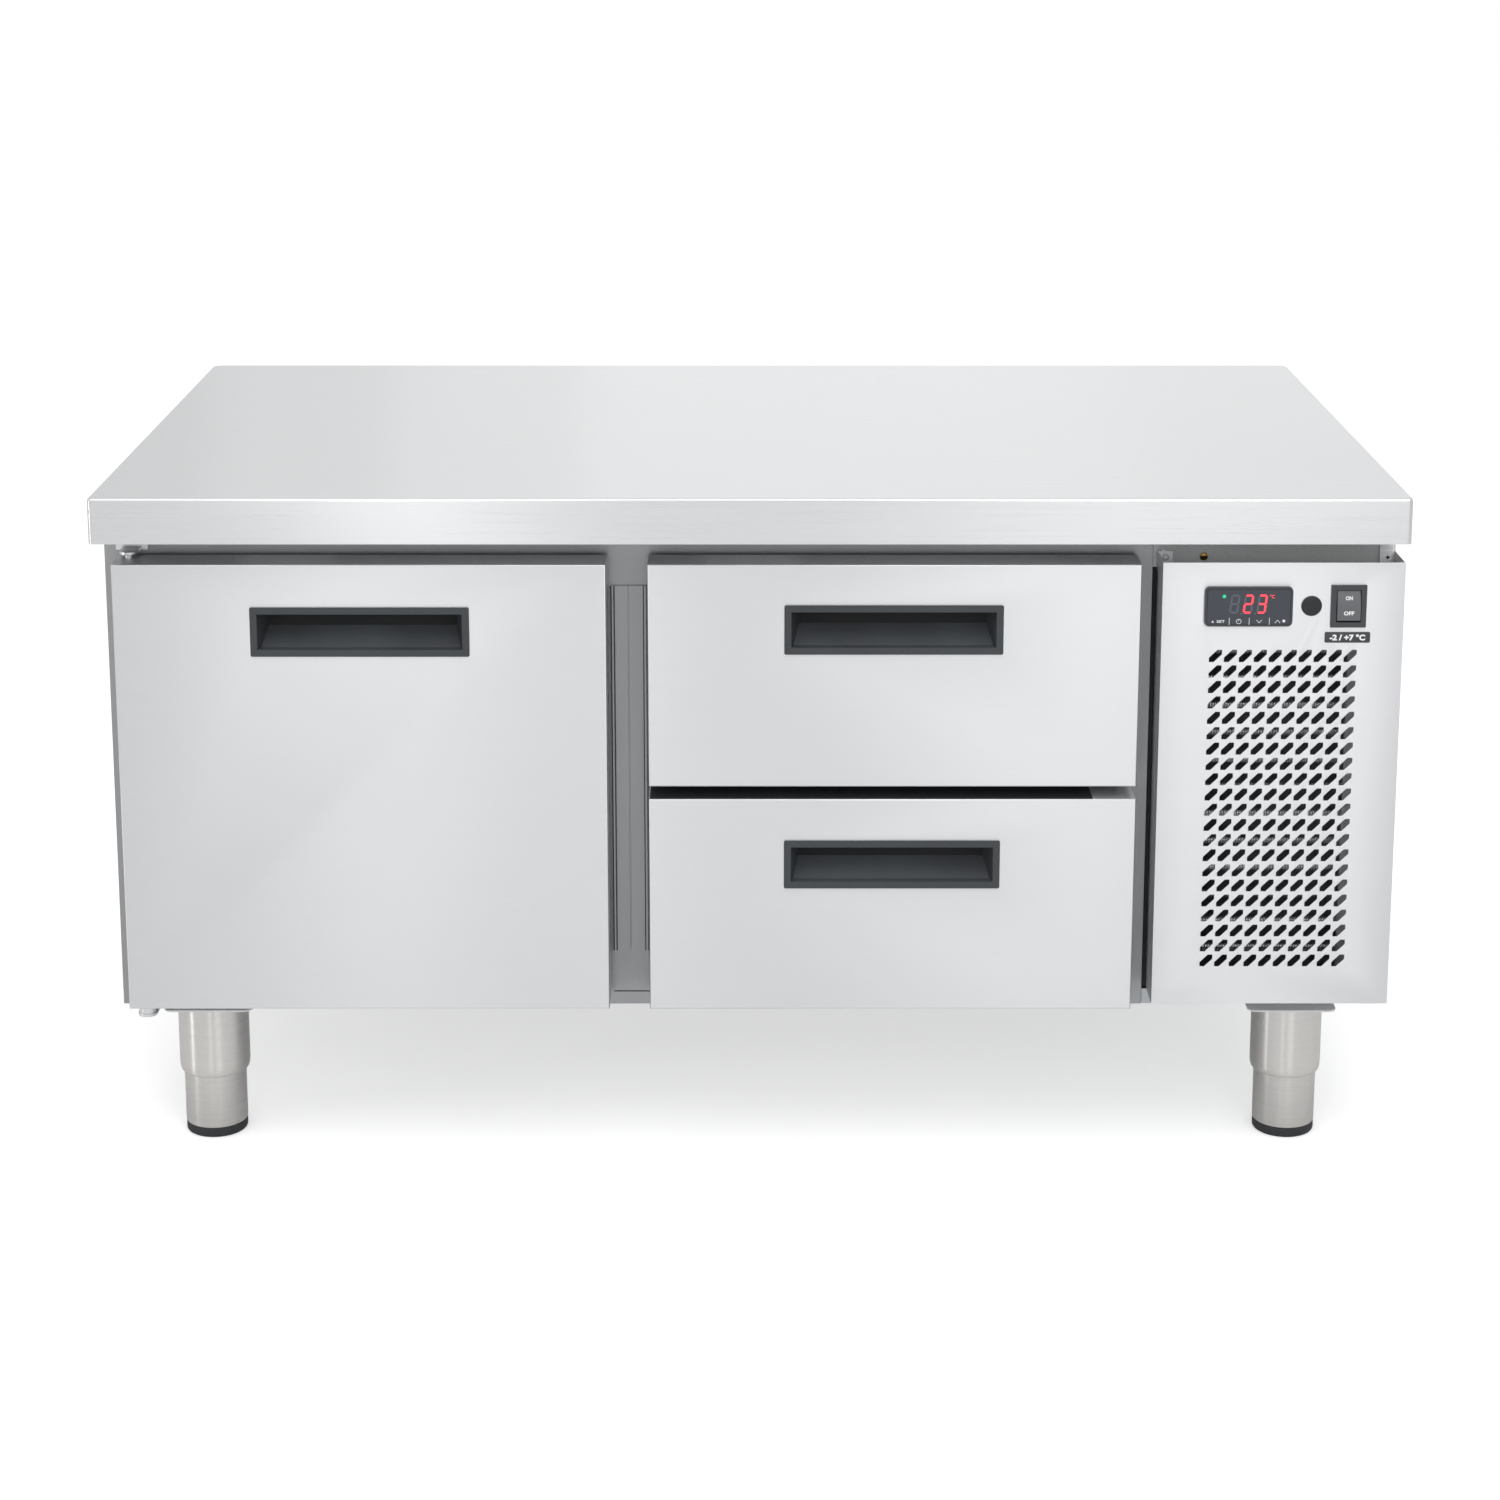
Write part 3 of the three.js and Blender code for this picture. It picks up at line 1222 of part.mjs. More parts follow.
// Compressor on its mounting plate, drawn on its axis from the base's floor up, and the refrigerant lines
const compX = (boxRight + bodyRight) / 2;
const compY = bodyBack - compressorRearInset;
const compRise = seatGap + compressorFootHeight;
const compPortRise = compRise + compressorHeight * portHeightShare;
const compPort = machineFloor + compPortRise;
const compPortReach = compressorRadius + portStub;

function makeCompressor() {
  const shellShares = [
    [0, 0], [0.8, 0], [0.97, 0.1], [1, 0.2], [1, 0.5], [1.05, 0.5], [1.05, 0.54], [1, 0.54],
    [0.97, 0.75], [0.82, 0.92], [0.5, 0.99], [0, 1],
  ];
  const shell = turned(
    shellShares.map(([r, h]) => [r * compressorRadius, compRise + h * compressorHeight]), 0, 0);
  const plateX = compressorPlateWidth / 2;
  const plateY = compressorPlateDepth / 2;
  const plate = block(
    -plateX, plateX, -plateY, plateY, compRise - compressorPlate / 2, compRise + compressorPlate / 2);
  const footX = plateX - compressorFootRadius;
  const footY = plateY - compressorFootRadius;
  const feet = [[-footX, -footY], [footX, -footY], [-footX, footY], [footX, footY]].map(
    ([x, y]) => barZ(compressorFootRadius, x, y, seatGap, compRise + compressorPlate, lineSides));
  const port = barX(lineRadius, 0, compPortRise, -compPortReach, compPortReach, lineSides);
  place("compressor", joined([shell, plate, ...feet, port]), blackPaint, groupAt(compX, compY, machineFloor));
}

function makeLines() {
  const sideX = machineX1 - sleeveRadius - lineRadius;
  const topZ = firstTubeZ + (tubeRows - 1) * tubePitch;
  const portOut = compX + compPortReach + seatGap;
  const portIn = compX - compPortReach - seatGap;
  place("discharge_line", piped([
    [portOut, compY, compPort], [portOut + lineRadius, compY, compPort],
    [sideX, compY - sleeveRadius, compPort + sleeveRadius],
    [sideX, compY - compressorRadius, compPort + compressorRadius],
    [sideX, (compY + condMidY) / 2, (compPort + topZ) / 2],
    [sideX, condMidY + bendRadius * 2, topZ - lineRadius],
    [sideX - lineRadius / 2, condMidY + lineRadius, topZ],
    [stubEnd + seatGap + lineRadius / 2, condMidY, topZ], [stubEnd + seatGap, condMidY, topZ],
  ], lineRadius, routeSteps), copper);

  const drierX = sideX;
  const drierY0 = (condMidY + compY - drierLength) / 2;
  const drierY1 = drierY0 + drierLength;
  const descentX = portIn + sleeveRadius * 5 / 4;
  const joint = descentX + sleeveRadius + seatGap;
  const backY = portY;
  const firstRun = piped([
    [stubEnd + seatGap, condMidY, firstTubeZ], [stubEnd + seatGap + lineRadius / 2, condMidY, firstTubeZ],
    [drierX - lineRadius / 2, condMidY + lineRadius, firstTubeZ],
    [drierX, condMidY + bendRadius * 2, firstTubeZ], [drierX, drierY0 + lineRadius, firstTubeZ],
  ], lineRadius, routeSteps / 2);
  const drier = barY(drierRadius, drierX, firstTubeZ, drierY0, drierY1);
  const lineZ = portZ + 5 * sleeveRadius;
  const secondRun = piped([
    [drierX, drierY1 - lineRadius, firstTubeZ], [drierX, drierY1 + bendRadius, firstTubeZ],
    [drierX, backY - bendRadius * 2, (firstTubeZ + lineZ) / 2],
    [drierX - bendRadius, backY - lineRadius, lineZ], [drierX - bendRadius * 3, backY, lineZ],
    [joint + bendRadius, backY, lineZ], [joint, backY, lineZ],
  ], lineRadius, routeSteps);
  place("liquid_line", joined([firstRun, drier, secondRun]), copper);

  place("suction_line", piped([
    [portIn, compY, compPort], [portIn - lineRadius, compY, compPort],
    [portIn - sleeveRadius, compY + 2 * sleeveRadius, compPort],
    [portIn, portY - 3 * sleeveRadius, compPort - lineRadius],
    [descentX, portY, lineZ], [descentX - lineRadius, portY, portZ + sleeveRadius],
    [descentX - 2 * sleeveRadius, portY, portZ], [boxRight + sleeveRadius, portY, portZ],
    [boxRight, portY, portZ], [drawerOpenRight, portY, portZ],
    [mullionCentre + openingWidth / 2, portY, portZ],
    [columnRight, portY, portZ], [mullionCentre + 3 * sleeveRadius + seatGap, portY, portZ],
  ], sleeveRadius, routeSteps + roundSides), blackPlastic);
}

function makeElectricalBox() {
  const x0 = boxRight + seatGap;
  const y0 = framePlane + boxFrontInset;
  const z0 = bodyTop - boxTopDrop - boxHeight;
  place("electrical_box", deepened(
    roundedRect(x0, x0 + boxWidth, z0, z0 + boxHeight, boxBend), y0, y0 + boxDepth), whitePlastic);
}

// Feet: a sleeve under the body and a threaded insert that turns in it, drawn about the foot's axis
function makeFeet() {
  const sleeveTop = footHeight - seatGap - footPlateThickness;
  const sleeveLow = footHeight - sleeveHeight;
  const roof = sleeveTop - sleeveWall;
  const sleeve = turned([
    [0, roof], [sleeveBore, roof], [sleeveBore, sleeveLow],
    [sleeveOuter - sleeveEdge / 3, sleeveLow + sleeveEdge / 3], [sleeveOuter, sleeveLow + sleeveEdge],
    [sleeveOuter, sleeveTop], [0, sleeveTop],
  ], 0, 0, footSides);
  const plate = block(
    -footPlateWidth / 2, footPlateWidth / 2, -footPlateOutReach, footPlateInReach,
    sleeveTop - seatGap, footHeight - seatGap);
  const insertTop = sleeveLow + insertEngagement;
  const spindle = insertRadius / 3;
  const padRadius = insertRadius - padSeam;
  const insert = turned([
    [0, 0], [padRadius - padEdge, 0], [padRadius, padEdge], [padRadius, padHeight],
    [insertRadius, padHeight + padSeam], [insertRadius, insertTop], [spindle, insertTop],
    [spindle, roof - seatGap], [0, roof - seatGap],
  ], 0, 0, footSides);
  for (const [depthName, sy, turn] of [["front", -1, 0], ["rear", 1, Math.PI]]) {
    for (const [sideName, sx] of [["left", -1], ["right", 1]]) {
      const foot = groupAt(sx * footCentreX, sy * footCentreY, 0);
      foot.rotation.z = turn;
      place(`foot_sleeve_${depthName}_${sideName}`, sleeve.add(plate), steel, foot);
      place(`foot_insert_${depthName}_${sideName}`, insert, steel, foot);
    }
  }
}

makeWorktop();
makeColdBox();
makeFrontFrame();
makeDoor();
makeHinges();
makeDrawers();
makeSlides();
makeShelf();
makeEvaporator();
makeEvaporatorFan();
makeMachineSheets();
makeMachineFront();
makeControls();
makeCondenser();
makeFanSet();
makeCompressor();
makeLines();
makeElectricalBox();
makeFeet();

export default chefBase;
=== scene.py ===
"""Finish and fine pieces of a refrigerated chef base, laid out as a Blender add-on and run as a script.

Metres, +Z up, front towards -Y. The frame is loaded first and stays as it is. Every piece that is made
here sits where the frame's boxes say, and rides on one of its bodies.
"""

import json
import math

import bmesh
import bpy
from bpy.props import FloatProperty, FloatVectorProperty, IntProperty, PointerProperty
from mathutils import Matrix, Vector

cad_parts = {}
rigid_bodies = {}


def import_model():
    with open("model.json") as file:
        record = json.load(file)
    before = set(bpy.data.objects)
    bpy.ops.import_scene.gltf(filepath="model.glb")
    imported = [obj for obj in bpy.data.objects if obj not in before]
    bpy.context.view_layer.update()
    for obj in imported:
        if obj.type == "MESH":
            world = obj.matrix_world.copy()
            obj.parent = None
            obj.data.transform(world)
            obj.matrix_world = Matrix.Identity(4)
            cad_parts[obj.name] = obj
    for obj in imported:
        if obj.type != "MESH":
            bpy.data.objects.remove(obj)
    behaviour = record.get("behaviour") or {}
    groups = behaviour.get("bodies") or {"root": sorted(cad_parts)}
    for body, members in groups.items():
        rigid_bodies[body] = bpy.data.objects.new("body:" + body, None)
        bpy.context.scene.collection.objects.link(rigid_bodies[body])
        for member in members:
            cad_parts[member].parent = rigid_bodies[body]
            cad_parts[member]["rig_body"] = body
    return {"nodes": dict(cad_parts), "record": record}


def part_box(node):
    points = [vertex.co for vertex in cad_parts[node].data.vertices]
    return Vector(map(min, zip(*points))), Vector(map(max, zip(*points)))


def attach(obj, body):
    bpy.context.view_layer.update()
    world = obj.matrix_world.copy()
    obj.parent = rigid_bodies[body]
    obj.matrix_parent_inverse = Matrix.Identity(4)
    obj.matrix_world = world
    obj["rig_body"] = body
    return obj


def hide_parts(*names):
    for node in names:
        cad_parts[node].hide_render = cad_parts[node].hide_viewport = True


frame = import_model()

bl_info = {
    "name": "Refrigerated Chef Base",
    "version": (1, 0, 0),
    "blender": (4, 5, 0),
    "location": "View3D > Sidebar > Chef Base",
    "description": "Finishes and fine pieces of a refrigerated chef base",
    "category": "Object",
}

MM = 0.001
NODES = frame["nodes"]
SLOT_OF = {part["node"]: part["material_slot"] for part in frame["record"]["subparts"]}
CORNERS = ("front_left", "front_right", "rear_left", "rear_right")
FRONTS = ("door", "upper_drawer", "lower_drawer")


def linear(hex_colour):
    """An sRGB hex colour as the linear values that a shader takes."""
    shares = [int(hex_colour[i:i + 2], 16) / 255 for i in (0, 2, 4)]
    return tuple(s / 12.92 if s <= 0.04045 else ((s + 0.055) / 1.055) ** 2.4 for s in shares)


def length(name, description, millimetres):
    """A length property, given in millimetres."""
    return FloatProperty(
        name=name, description=description, default=millimetres * MM, unit="LENGTH", precision=4)


def power(name, description, watts):
    """The power of a lamp."""
    return FloatProperty(name=name, description=description, default=watts, unit="POWER")


def brightness(name, description, share):
    """A brightness, where 1 is white."""
    return FloatProperty(name=name, description=description, default=share)


def number(name, description, count):
    """A property that counts."""
    return IntProperty(name=name, description=description, default=count, min=1)


def colour(name, description, hex_colour):
    """A colour property, given as sRGB hex."""
    return FloatVectorProperty(
        name=name, description=description, default=linear(hex_colour), subtype="COLOR", size=3, min=0, max=1)


class StageSettings(bpy.types.PropertyGroup):
    """Camera, floor and lights."""

    camera_distance: length("Camera distance", "Of the camera in front of the unit's middle", 3148)
    camera_height: length("Camera height", "Of the camera above the floor", 1252)
    camera_pitch: FloatProperty(
        name="Camera pitch", description="How far the camera looks down", default=math.radians(12),
        subtype="ANGLE")
    camera_lens: FloatProperty(
        name="Lens", description="Focal length on a 36 mm sensor", default=76.1, unit="CAMERA")
    camera_shift: FloatProperty(
        name="Vertical shift", description="Lens shift, as a share of the width", default=-0.18)
    floor_colour: colour("Floor", "Pale studio floor", "F2F2F2")
    floor_size: length("Floor size", "Side of the square floor", 16000)
    overhead_power: power("Overhead power", "Of the large lamp above", 30)
    strip_power: power("Strip power", "Of the tall lamp to the left of the camera", 7.5)
    side_power: power("Side power", "Of the wide lamp to the right of the camera", 20)
    low_power: power("Low power", "Of the low lamp at the left, seen in the feet", 4)
    back_power: power("Back power", "Of a metre's width of the lamps behind the unit", 2.75)
    sky_level: brightness("Sky level", "Light of the surround on matt surfaces", 0.6)
    metal_sky: brightness("Sky in metal", "Strength of the surround seen in metal", 0.83)
    floor_glow: brightness("Floor glow", "What makes the lit floor white to the camera", 0.5)
    metal_floor: brightness("Floor in metal", "The same, seen in metal", 0.06)


class FinishSettings(bpy.types.PropertyGroup):
    """Colours of the materials."""

    worktop_steel: colour("Worktop steel", "Brushed stainless sheet of the worktop", "DEDFE0")
    front_steel: colour("Front steel", "Satin stainless sheet of the fronts", "DCDDDF")
    casing_steel: colour("Casing steel", "Satin stainless sheet of the casing", "C9CACC")
    # The frame's steel is painted darker than the other stainless, as a painted shade behind the fronts and
    # under the worktop's overhang
    frame_steel: colour("Frame steel", "Stainless sheet behind the fronts", "A6A7A9")
    liner_steel: colour("Liner steel", "Stainless sheet inside the cold box", "C6C8CA")
    galvanised: colour("Galvanised steel", "Zinc-coated sheet and slides", "B4B8BB")
    foam: colour("Foam", "Rigid polyurethane foam", "E3D3A0")
    rubber: colour("Rubber", "Gaskets and foot pads", "2E3032")
    handle: colour("Handle plastic", "Moulded recessed handles", "3A3E41")
    # The pocket's floor colour is a painted light and its back colour a painted shade, paler and darker than
    # the handle's own plastic
    pocket_floor_painted_light: colour("Pocket floor", "Sloping floor of a handle's pocket", "4C5054")
    pocket_back_painted_shade: colour("Pocket back", "Back of a handle's pocket", "1E1F21")
    control: colour("Control plastic", "Moulded controller and switch frame", "3F4245")
    rocker: colour("Rocker plastic", "Moulded rocker of the switch", "64676A")
    window: colour("Window", "Smoked window of the display", "3F434C")
    lit_digit: colour("Lit digit", "Glowing segments of the display", "F2434E")
    lit_lamp: colour("Lit lamp", "Small green pilot lamp", "16B184")
    print_white: colour("Print", "White printing on the controls", "F8F8F8")
    black_paint: colour("Black paint", "Satin black paint of the compressor and shroud", "1D1E20")
    aluminium: colour("Aluminium", "Fins and fan blades", "C9CBCD")
    fin: colour("Fins", "Fins of the condenser", "B8BABC")
    copper: colour("Copper", "Drawn copper tube", "B9704A")
    wire: colour("Wire", "Bright drawn wire of the shelf", "CDD0D2")
    foot_steel: colour("Foot steel", "Brushed stainless tube of the feet", "D9D7D4")
    box_plastic: colour("Box plastic", "Pale moulded electrical box", "E6E5E1")
    brass: colour("Brass", "Brass screw", "B08D57")


class DetailSettings(bpy.types.PropertyGroup):
    """Sizes of the fine pieces."""

    sheet_round: length("Sheet rounding", "Rounding of the sheet metal's edges", 0.5)
    moulded_round: length("Moulded rounding", "Rounding of moulded edges", 0.7)
    tube_sides: number("Tube sides", "Sides of a foot's tube", 64)
    fin_pitch: length("Fin pitch", "Between the condenser's fins", 2.4)
    fin_sheet: length("Fin sheet", "Thickness of a fin, drawn coarse enough to show", 0.7)
    fin_foot: length("Fin foot", "Of the fins above the foot of their end plates", 18)
    fin_waves: number("Fin waves", "Waves of a fin's edge from foot to top", 44)
    fin_ripple: length("Fin ripple", "Of a fin's wavy edge to each side", 0.35)
    tube_pitch: length("Tube pitch", "Between the condenser's tubes, up and down", 26.7)
    tube_depth: length("Tube depth", "Of the first tubes behind the fins' edge", 9)
    tube_rows: number("Tube rows", "Rows of tubes, front to back", 3)
    tube_row: length("Tube row pitch", "Between the rows of tubes, front to back", 22)
    tube_radius: length("Tube radius", "Of the condenser's tubes", 4.6)
    end_sheet: length("End sheet", "Thickness of the condenser's end plates", 1.5)
    end_flange: length("End flange", "Width of an end plate's front flange", 15)
    sleeve_radius: length("Sleeve radius", "Outer radius of a foot's sleeve", 33.5)
    sleeve_wall: length("Sleeve wall", "Wall of a foot's sleeve", 1.6)
    sleeve_neck: length("Sleeve neck", "Height over which a sleeve's lower end curves in", 9)
    sleeve_lip: length("Sleeve lip", "Gap between a sleeve's turned-in end and its insert", 1.2)
    sleeve_bore: length("Sleeve bore", "Gap between a sleeve's bore and its insert", 0.6)
    sleeve_seat: length("Sleeve seat", "Gap at the upper and lower end of a sleeve", 0.4)
    insert_edge: length("Insert edge", "Chamfer of an insert's upper edge and of its pad", 0.8)
    pad_seam: length("Pad seam", "Depth of the seam between an insert and its pad", 0.3)
    insert_lip: length("Insert lip", "Height of an insert's rounded end over its pad", 1.0)
    insert_inset: length("Insert inset", "How far an insert's end draws in at its pad", 0.5)
    pad_round: length("Pad rounding", "Rounding of the pad's lower edge", 3)
    flange_sheet: length("Flange sheet", "Thickness of a foot's mounting flange", 1.6)
    flange_corner: length("Flange corner", "Corner radius of a foot's mounting flange", 8)
    pad_height: length("Pad height", "Height of a foot's rubber pad", 10)
    front_fold: length("Front fold", "Outer radius of the fronts' folded edges", 0.9)
    mullion_joint: length("Mullion joint", "Width of the joints between the mullion's strips", 0.7)
    # The lower drawer's dark strip is a painted shade for the gap between the drawers
    shade_strip_end: length("Tape end", "From the end of the lower drawer's painted shade strip to the drawer's right end", 40)
    shade_strip_sheet: length("Painted shade strip", "Thickness of the lower drawer's painted shade strip", 0.32)
    sill_height: length("Sill height", "Of the joint over the lower end of the front frame", 12.8)
    handle_rim: length("Handle rim", "Width of a handle's rim", 6.5)
    seal_sheet: length("Air seal", "Thickness of the foam strip beside the condenser", 3.6)
    wire_count: number("Shelf wires", "Long wires of the shelf between its side wires", 25)
    frame_wire: length("Frame wire", "Radius of the shelf's outer wire", 4)
    shelf_wire: length("Shelf wire", "Radius of the shelf's long wires", 2)
    screw_head: length("Screw head", "Radius of a pan screw's head", 3.8)
    screw_rise: length("Screw rise", "Height of a pan screw's head", 1.6)


class DisplaySettings(bpy.types.PropertyGroup):
    """Sizes of the display, the keys and the plates beside them."""

    digit_height: length("Digit height", "Of the display's digits", 18)
    digit_width: length("Digit width", "Of the display's digits", 7.6)
    digit_pitch: length("Digit pitch", "From one digit to the next", 12.5)
    digit_stroke: length("Digit stroke", "Width of a segment", 1.9)
    digit_lean: FloatProperty(
        name="Digit lean", description="Of the digits to the right", default=0.11, subtype="ANGLE")
    reading: IntProperty(
        name="Reading", description="Number that the display shows", default=23, min=0, max=99)
    lamp_radius: length("Pilot lamp", "Radius of the pilot lamp", 1.7)
    icon_reach: length("Icon reach", "Half the width of a key's sign", 2.4)
    icon_stroke: length("Icon stroke", "Width of the lines of a key's sign", 0.45)
    cap_radius: length("Blanking cap", "Radius of the round cap in the spare hole", 9.5)
    cap_rise: length("Cap rise", "Height of the cap's dome", 1.4)
    range_width: length("Range plate width", "Of the plate with the temperature range", 41.7)
    range_height: length("Range plate height", "Of the plate with the temperature range", 10.1)
    range_gap: length("Range plate gap", "From the switch down to the plate", 4.6)
    plate_rise: length("Plate thickness", "Of the plate with the temperature range", 0.8)


SETTINGS = {
    "chef_stage": StageSettings, "chef_finish": FinishSettings, "chef_detail": DetailSettings,
    "chef_display": DisplaySettings,
}

# Name, power, width and height, place and target of each lamp in front and above, in metres
LAMPS = (
    ("overhead lamp", "overhead_power", (3.2, 2.6), (0, -1.4, 3.0), (0, -0.6, 0)),
    ("left strip lamp", "strip_power", (0.24, 2.6), (-0.76, -4.1, 1.7), (-0.3, -0.3, 1.7)),
    ("right side lamp", "side_power", (1.1, 2.4), (1.05, -4.1, 2.2), (0.4, -0.3, 1.6)),
    ("low left lamp", "low_power", (0.25, 0.7), (-2.4, -1.2, 0.35), (-0.4, -0.3, 0.1)),
)
# Left and right edge in metres, and share of the power, of each lamp behind the unit. They stand side by side
# and are brightest in the middle, for the worktop's soft gradient
BACK_LAMPS = (
    (-1.3, -0.85, 0.33), (-0.85, -0.4, 0.67), (-0.4, 0.9, 1.0), (0.9, 1.7, 0.85), (1.7, 2.6, 0.7))
BACK_LAMP_HEIGHT, BACK_LAMP_Y, BACK_LAMP_Z, BACK_TARGET_Z = 2.4, 4.2, 1.6, 1.1

# Lines per metre of a grain, along it and across it
ALONG_X = (6.0, 900.0, 900.0)
AROUND = (6.0, 6.0, 900.0)
ALONG_UV = (6.0, 900.0, 1.0)
UPRIGHT_UV = (900.0, 6.0, 1.0)
# How much smudges add to a metal's roughness, and how much paler an unlit segment is than the window
SMUDGE, GHOST_GAIN = 0.06, 2.1
VIEWPORT_GREY = (0.7, 0.7, 0.7, 1)

# Rise of a print over its ground, and the least gap between pieces that lie on each other
PRINT_DEPTH = 0.08 * MM
# Sides of tubes, wires and discs, and of the small signs
TUBE_SIDES, WIRE_SIDES, BEND_SIDES = 20, 12, 12
DISC_SIDES, HEAD_SIDES, CAP_SIDES = 24, 20, 48
RING_SIDES, DOT_SIDES, POINT_SIDES, HEXAGON, TRIANGLE = 28, 16, 12, 6, 3
# Steps of bends and domes, and of rounded sheet corners, folds and other edges
BEND_STEPS, CORNER_STEPS, DOME_STEPS, HEAD_STEPS = 10, 6, 6, 5
PLATE_STEPS, FOLD_STEPS, EDGE_STEPS = 5, 3, 2
# Angles, in degrees, of the points that round a foot pad's lower edge
PAD_ANGLES = (0, 22, 45, 68, 90)
# An edge that turns by more degrees than this is rounded, where nothing else is said
SHARP_ANGLE = 50

# Node, material and rounding, in sheet roundings, of each plain sheet of the cabinet
CABINET_SHEETS = (
    ("outer_casing", "casing", 0.6), ("front_frame", "frame", 0.6), ("mullion_cover", "frame", 0.3),
    ("inner_liner", "liner", 0.6), ("machine_side_panel", "front", 0.6), ("machine_back_panel", "front", 0.6),
    ("machine_front_panel", "front", 0.5), ("machine_top_rail", "rail", 0.6),
    ("machine_base", "galvanised", 0.6))
# The same for each piece of the machine compartment and the evaporator
MACHINE_PIECES = (
    ("condenser_shroud", "black", 0.6), ("condenser_fan", "aluminium", 0.4),
    ("condenser_fan_motor", "black", 0.8), ("compressor", "black", 0.8), ("electrical_box", "box", 2),
    ("evaporator_fan", "control", 0.4), ("evaporator_fan_motor", "control", 0.8),
    ("evaporator_cover", "liner", 0.6), ("evaporator_coil", "aluminium", 0.2))
LINES = (("discharge_line", "copper"), ("liquid_line", "copper"), ("suction_line", "rubber"))
# Rounding of the other sheet pieces, in sheet roundings, and of the moulded ones, in moulded roundings
WORKTOP_ROUND, SKIN_ROUND, INNER_PANEL_ROUND, GASKET_ROUND = 1.6, 0.5, 1.6, 2.4
LINE_ROUND, PAN_FRAME_ROUND, CHANNEL_ROUND, RACK_ROUND = 0.4, 0.8, 0.6, 0.4
HOUSING_ROUND, WINDOW_ROUND, SWITCH_ROUND, ROCKER_ROUND = 0.6, 0.3, 0.8, 0.7
PLATE_CORNER, PLATE_ROUND = 2, 0.4
# Rounding of the condenser's end plates and air seal, in sheets of an end plate
END_ROUND, AIR_SEAL_ROUND = 0.2, 0.3

# Place across the mullion of each joint of its cladding, and its width in joints. The first and widest line,
# beside the door, is a painted shadow of the gap there; the others are joints
MULLION_JOINTS = ((0.03, 2), (0.115, 1.4), (0.905, 1.4), (0.98, 1))
# Where a handle's pocket begins, in widths of its rim, and how far its floor and back lean at most
POCKET_INSET, POCKET_MOUTH = 0.8, 0.4
FLOOR_LEAN, BACK_LEAN = math.acos(0.3), math.acos(0.8)
# Where the first tube of an even and of an odd row lies over the fins' foot, in tube pitches
ROW_STARTS = (0.25, 0.5)
# Place of the grommet's hole beside the fins and under the end plate's top, in flange widths
GROMMET_ACROSS, GROMMET_DOWN = 0.6, 4
# A cross wire's radius in long wires' radii, and a corner's bend in outer wires' radii
CROSS_WIRE, CORNER_BEND = 1.25, 3

# Places on the window, as shares of its half width and half height from its middle
DIGIT_ROW, LAMP_PLACE, DEGREE_PLACE = (-0.015, 0.165), (-0.6, 0.6), (0.555, 0.6)
KEY_ROW, SET_ACROSS, RING_ACROSS = -0.84, -0.67, -0.235
DIVIDERS, DIVIDER_TOP, DIVIDER_FOOT = (-0.465, 0.015, 0.5), 0.21, -0.19
TRIANGLE_PLACE, DOT_PLACE = (-0.865, KEY_ROW - 0.02), (0.85, KEY_ROW + 0.03)
# Place across of each arrow, and whether it points down or up
ARROWS = ((0.255, -1), (0.7, 1))
# Width and height of the printed words, in reaches of a sign
DEGREE_SIZE, SET_SIZE = (1.9, 1.45), (3.1, 1.05)
# Radius of the small marks, height of an arrow's tip and ends of the ring's line, in reaches of a sign
MARK_RADIUS, ARROW_RISE, RING_LINE = 0.55, 0.6, (0.1, 0.7)
# Front radius of the pilot lamp and the grommet, in their own radii, and their rise in print depths
LAMP_FRONT, GROMMET_FRONT, LAMP_RISE, GROMMET_RISE = 0.8, 0.9, 3, 6
# What makes the words bolder, as a share of a sign's line, of a rocker's word and of the range plate's height
DEGREE_WEIGHT, SET_WEIGHT, ROCKER_WEIGHT, RANGE_WEIGHT = 0.1, 0.08, 0.04, 0.03
# How much of a segment's width its two points take from its length
SEGMENT_POINTS = 1.4

# Height of the rocker's words in reaches of a sign, and each word's width in its height
ROCKER_WORDS, WORD_WIDTHS = 1.6, {"ON": 1.7, "OFF": 2.5}
# A face looks to the front when its normal's y is less than this
TO_FRONT = -0.8
# Width and height of the range plate's words, as shares of the plate's
RANGE_WORDS = (0.78, 0.6)
# Rise of a dome's rim, as a share of the whole rise, for the cap and for a screw's head
CAP_RIM, HEAD_RIM = 0.35, 0.3
# Place of the screws and the clip, in radii of a screw's head: over the rail's lower edge, from its left end,
# and from the back panel's sides
SCREW_LEVEL, CLIP_ACROSS, SLOTTED_ACROSS, BACK_INSET = 2.6, 3, 12.4, 3
BACK_SCREWS = (0.04, 0.35, 0.66, 0.96)
# Half length of a screw's slot and of its cross, and their width, in radii of the head, and their level as a
# share of its rise
SLOT_REACH, CROSS_REACH, RECESS_WIDTH, RECESS_LEVEL = 0.85, 0.5, 0.22, 0.94
# The clip's half width in radii of a screw's head, its turn, and the rest in half widths: its rounding, front
# and back of the leaf, front, foot and top of the root, and bore, radius and thickness of the washer
CLIP_HALF, CLIP_TURN, CLIP_ROUND = 1.5, math.radians(24), 0.05
LEAF_FRONT, LEAF_BACK = 0.5, 0.35
ROOT_FRONT, ROOT_FOOT, ROOT_TOP = 0.4, 0.5, 0.8
WASHER_BORE, WASHER_RADIUS, WASHER_SHEET = 0.35, 0.55, 0.12

# Every material by its short name, once the finishes are made
MATERIALS = {}


def add_node(tree, kind, inputs=None, **settings):
    """Adds a shader node with its settings, and links or sets its inputs.

    The sockets of a mix or math node share their names, so those are given by number.
    """
    node = tree.nodes.new(kind)
    for name, value in settings.items():
        setattr(node, name, value)
    for name, value in (inputs or {}).items():
        if isinstance(value, bpy.types.NodeSocket):
            tree.links.new(value, node.inputs[name])
        else:
            node.inputs[name].default_value = value
    return node


